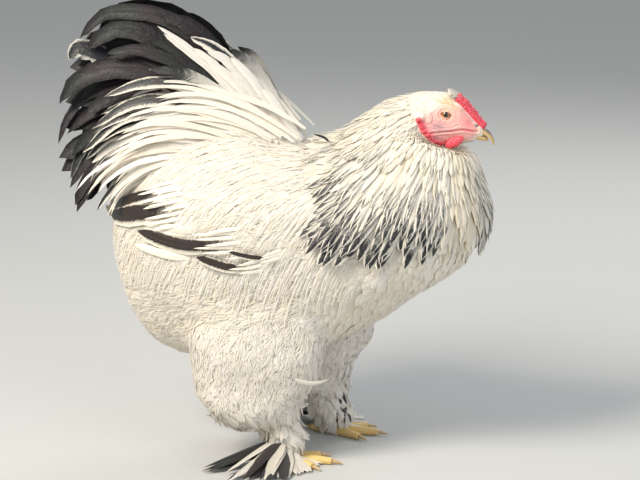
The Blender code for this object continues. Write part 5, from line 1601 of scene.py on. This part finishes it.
coat.grow(HEAD, t, angle, way, 0.0050 * chance.uniform(0.7, 1.3, number), rows=5, sink=0.0, rise=0.0052,
          curl=0.002, band=(0.8, 1.0), half=0.0006, form="strand", columns=1, camber=0, roll=0.3, fray=0.0,
          tint=tints(number, 0.1))
coat.finish(HEAD_FEATHER)

# %% [markdown]
# A live bird is never quite in order: a wisp stands off the back behind the cape, one white feather
# curls away from the thigh, and dark ones edge the front of the far leg.

# %% Feathers out of order
odd = Coat("stray_feathers", "white_feather")
STRAYS = [  # points, distances from the middle, side, half width, pattern, greyness
    ([(66, 401), (50, 396), (36, 389), (19, 386)], (42, 82), RIGHT, 1.0, PLAIN, 0.3),
    ([(64, 398), (47, 392), (33, 387), (17, 388)], (44, 80), RIGHT, 0.9, PLAIN, 0.1),
    ([(68, 399), (50, 392), (32, 384), (14, 384)], (42, 84), RIGHT, 0.8, PLAIN, 0.5),
    ([(62, 403), (50, 399), (40, 393), (28, 391)], (40, 70), RIGHT, 0.8, PLAIN, 0.2),
    ([(62, 402), (52, 410), (42, 413)], (48, 56), RIGHT, 2.6, (0.1, 0.7, 0.0), 0.6),
    ([(14, 121), (34, 114), (54, 114), (72, 121)], (98, 112), RIGHT, 4.2, PLAIN, 0.1),
    ([(50, 70), (57, 54), (60, 40), (60, 27)], (58, 53), LEFT, 3.0, (0.1, 0.75, 0.1), 0.5),
    ([(48, 60), (55, 45), (59, 31), (60, 18)], (52, 49), LEFT, 2.8, (0.1, 0.75, 0.1), 0.4),
    ([(52, 50), (59, 38), (64, 27), (67, 17)], (62, 58), LEFT, 2.4, (0.0, 0.8, 0.1), 0.6),
]
for points, ys, side, half, pattern, grey in STRAYS:
    path, outs = drawn(points, ys, side, 12)
    odd.add(path[None], outs[None], half / 1000, tail_roots(path[None]), "saddle", columns=4, camber=0.15,
            roll=0.1, fray=0.5, pattern=pattern, tint=([chance.uniform(0.2, 0.8)], 0.2, grey))
odd.finish(WHITE_FEATHER)

# %% [markdown]
# A Brahma is feathered down to its outer toes. Down hides the shank, and stiff plumes fan out from the
# ankle over the ground, the longest to the side and the rear, where half of them are black.

# %% Feathers of the shanks and feet
coat = Coat("foot_plumes", "leg_feather")
for side, ankle in ANKLES.items():
    t, angle = rows_of_roots(SHANKS[side], 0.0, 0.95, row_gap=0.0065, gap=0.0070)
    number = len(t)
    coat.grow(SHANKS[side], t, angle, chance.normal(0, 0.3, number), 0.026 * chance.uniform(0.8, 1.3, number),
              rows=6, sink=0.003, rise=0.006, curl=0.004, band=(0, 0.2), half=0.0055, form="down", columns=4,
              camber=0.3, roll=0.25, fray=0.4, tint=tints(number, 0.2))
    number = 46
    f = chance.uniform(0, 1, number)
    heading = 0.1 + 2.5 * f + chance.normal(0, 0.08, number)
    length = (0.045 + 0.065 * smooth(f, 0.1, 0.85)) * chance.uniform(0.8, 1.02, number)
    high = 0.012 + 0.026 * smooth(f, 0.0, 0.9) * chance.uniform(0.3, 1.0, number)
    s = np.linspace(0, 1, 9)[None, :, None]
    lie = np.stack([np.cos(heading), side * np.sin(heading), 0 * heading], -1)[:, None]
    start = ankle * (1, 1, 0) + lie * 0.006 + high[:, None, None] * (0, 0, 1)
    bend, end = start + lie * length[:, None, None] * 0.30, start + lie * length[:, None, None]
    bend[..., 2] *= 0.85
    end[..., 2] = 0.003
    path = start * (1 - s) ** 2 + bend * 2 * s * (1 - s) + end * s**2
    outs = np.broadcast_to(np.array([0, 0, 1.0]), path.shape)
    root = np.stack([0.3 + 0.6 * f, np.full(number, 0.5 + 0.2 * side)], -1)
    black = (f > 0.5) & (chance.uniform(0, 1, number) < 0.5)
    coat.add(path, outs, 0.0085, root, "saddle", columns=6, camber=0.25, roll=0.15, fray=0.35,
             pattern=(np.where(black, -1, 2), 3, 0), tint=tints(number, 0.2))
coat.finish(WHITE_FEATHER)

# %% [markdown]
# ## Studio
# A pale floor, a large soft light from the upper left on the camera's side, a weaker one opposite and
# an even grey world show form without hard shadows.

# %% Floor, lights and camera
floor = bpy.data.meshes.new("floor")
floor.from_pydata([(-8, -8, 0), (8, -8, 0), (8, 8, 0), (-8, 8, 0)], [], [(0, 1, 2, 3)])
floor = new_object("floor", floor)
floor.data.materials.append(new_material("pale matt floor", Base_Color=linear("#BDBEBC"), Roughness=0.9)[0])
floor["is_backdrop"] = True

world = bpy.data.worlds.new("studio")
world.use_nodes = True
world.node_tree.nodes["Background"].inputs["Color"].default_value = linear("#E4E8EC")
world.node_tree.nodes["Background"].inputs["Strength"].default_value = 0.60
bpy.context.scene.world = world


def soft_light(name, place, size, watts, hex_colour):
    light = bpy.data.lights.new(name, "AREA")
    light.energy, light.size, light.color = watts, size, linear(hex_colour)[:3]
    made = new_object(name, light)
    made.location = place
    made.rotation_euler = (Vector((0, 0, 0.28)) - Vector(place)).to_track_quat("-Z", "Y").to_euler()


soft_light("key", (-1.3, -1.9, 2.3), 1.2, 126, "#FFF6E8")
soft_light("fill", (2.2, -1.6, 1.0), 1.6, 22, "#E8F0FF")
soft_light("rim", (0.6, 2.0, 1.8), 1.2, 22, "#FFFFFF")

AZIMUTH, ELEVATION, DISTANCE = math.radians(12), math.radians(12), 3.0
aim = Vector((0.038, 0, 0.270)) + Vector(SHIFT)
back = Vector((
    math.sin(AZIMUTH) * math.cos(ELEVATION), -math.cos(AZIMUTH) * math.cos(ELEVATION), math.sin(ELEVATION)
))
camera = new_object("camera", bpy.data.cameras.new("camera"))
camera.data.lens, camera.data.sensor_width = 135, 36
camera.location = aim + back * DISTANCE
camera.rotation_euler = (-back).to_track_quat("-Z", "Y").to_euler()
bpy.context.scene.camera = camera
bpy.context.scene.view_settings.view_transform = "Standard"
print("camera", [round(c, 3) for c in camera.location])

# %% Sizes, and the last line
sizes = {"cad": [list(map(float, corner)) for corner in cad_box], "scene": [list(map(float, corner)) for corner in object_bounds()]}
print("sizes", sizes)
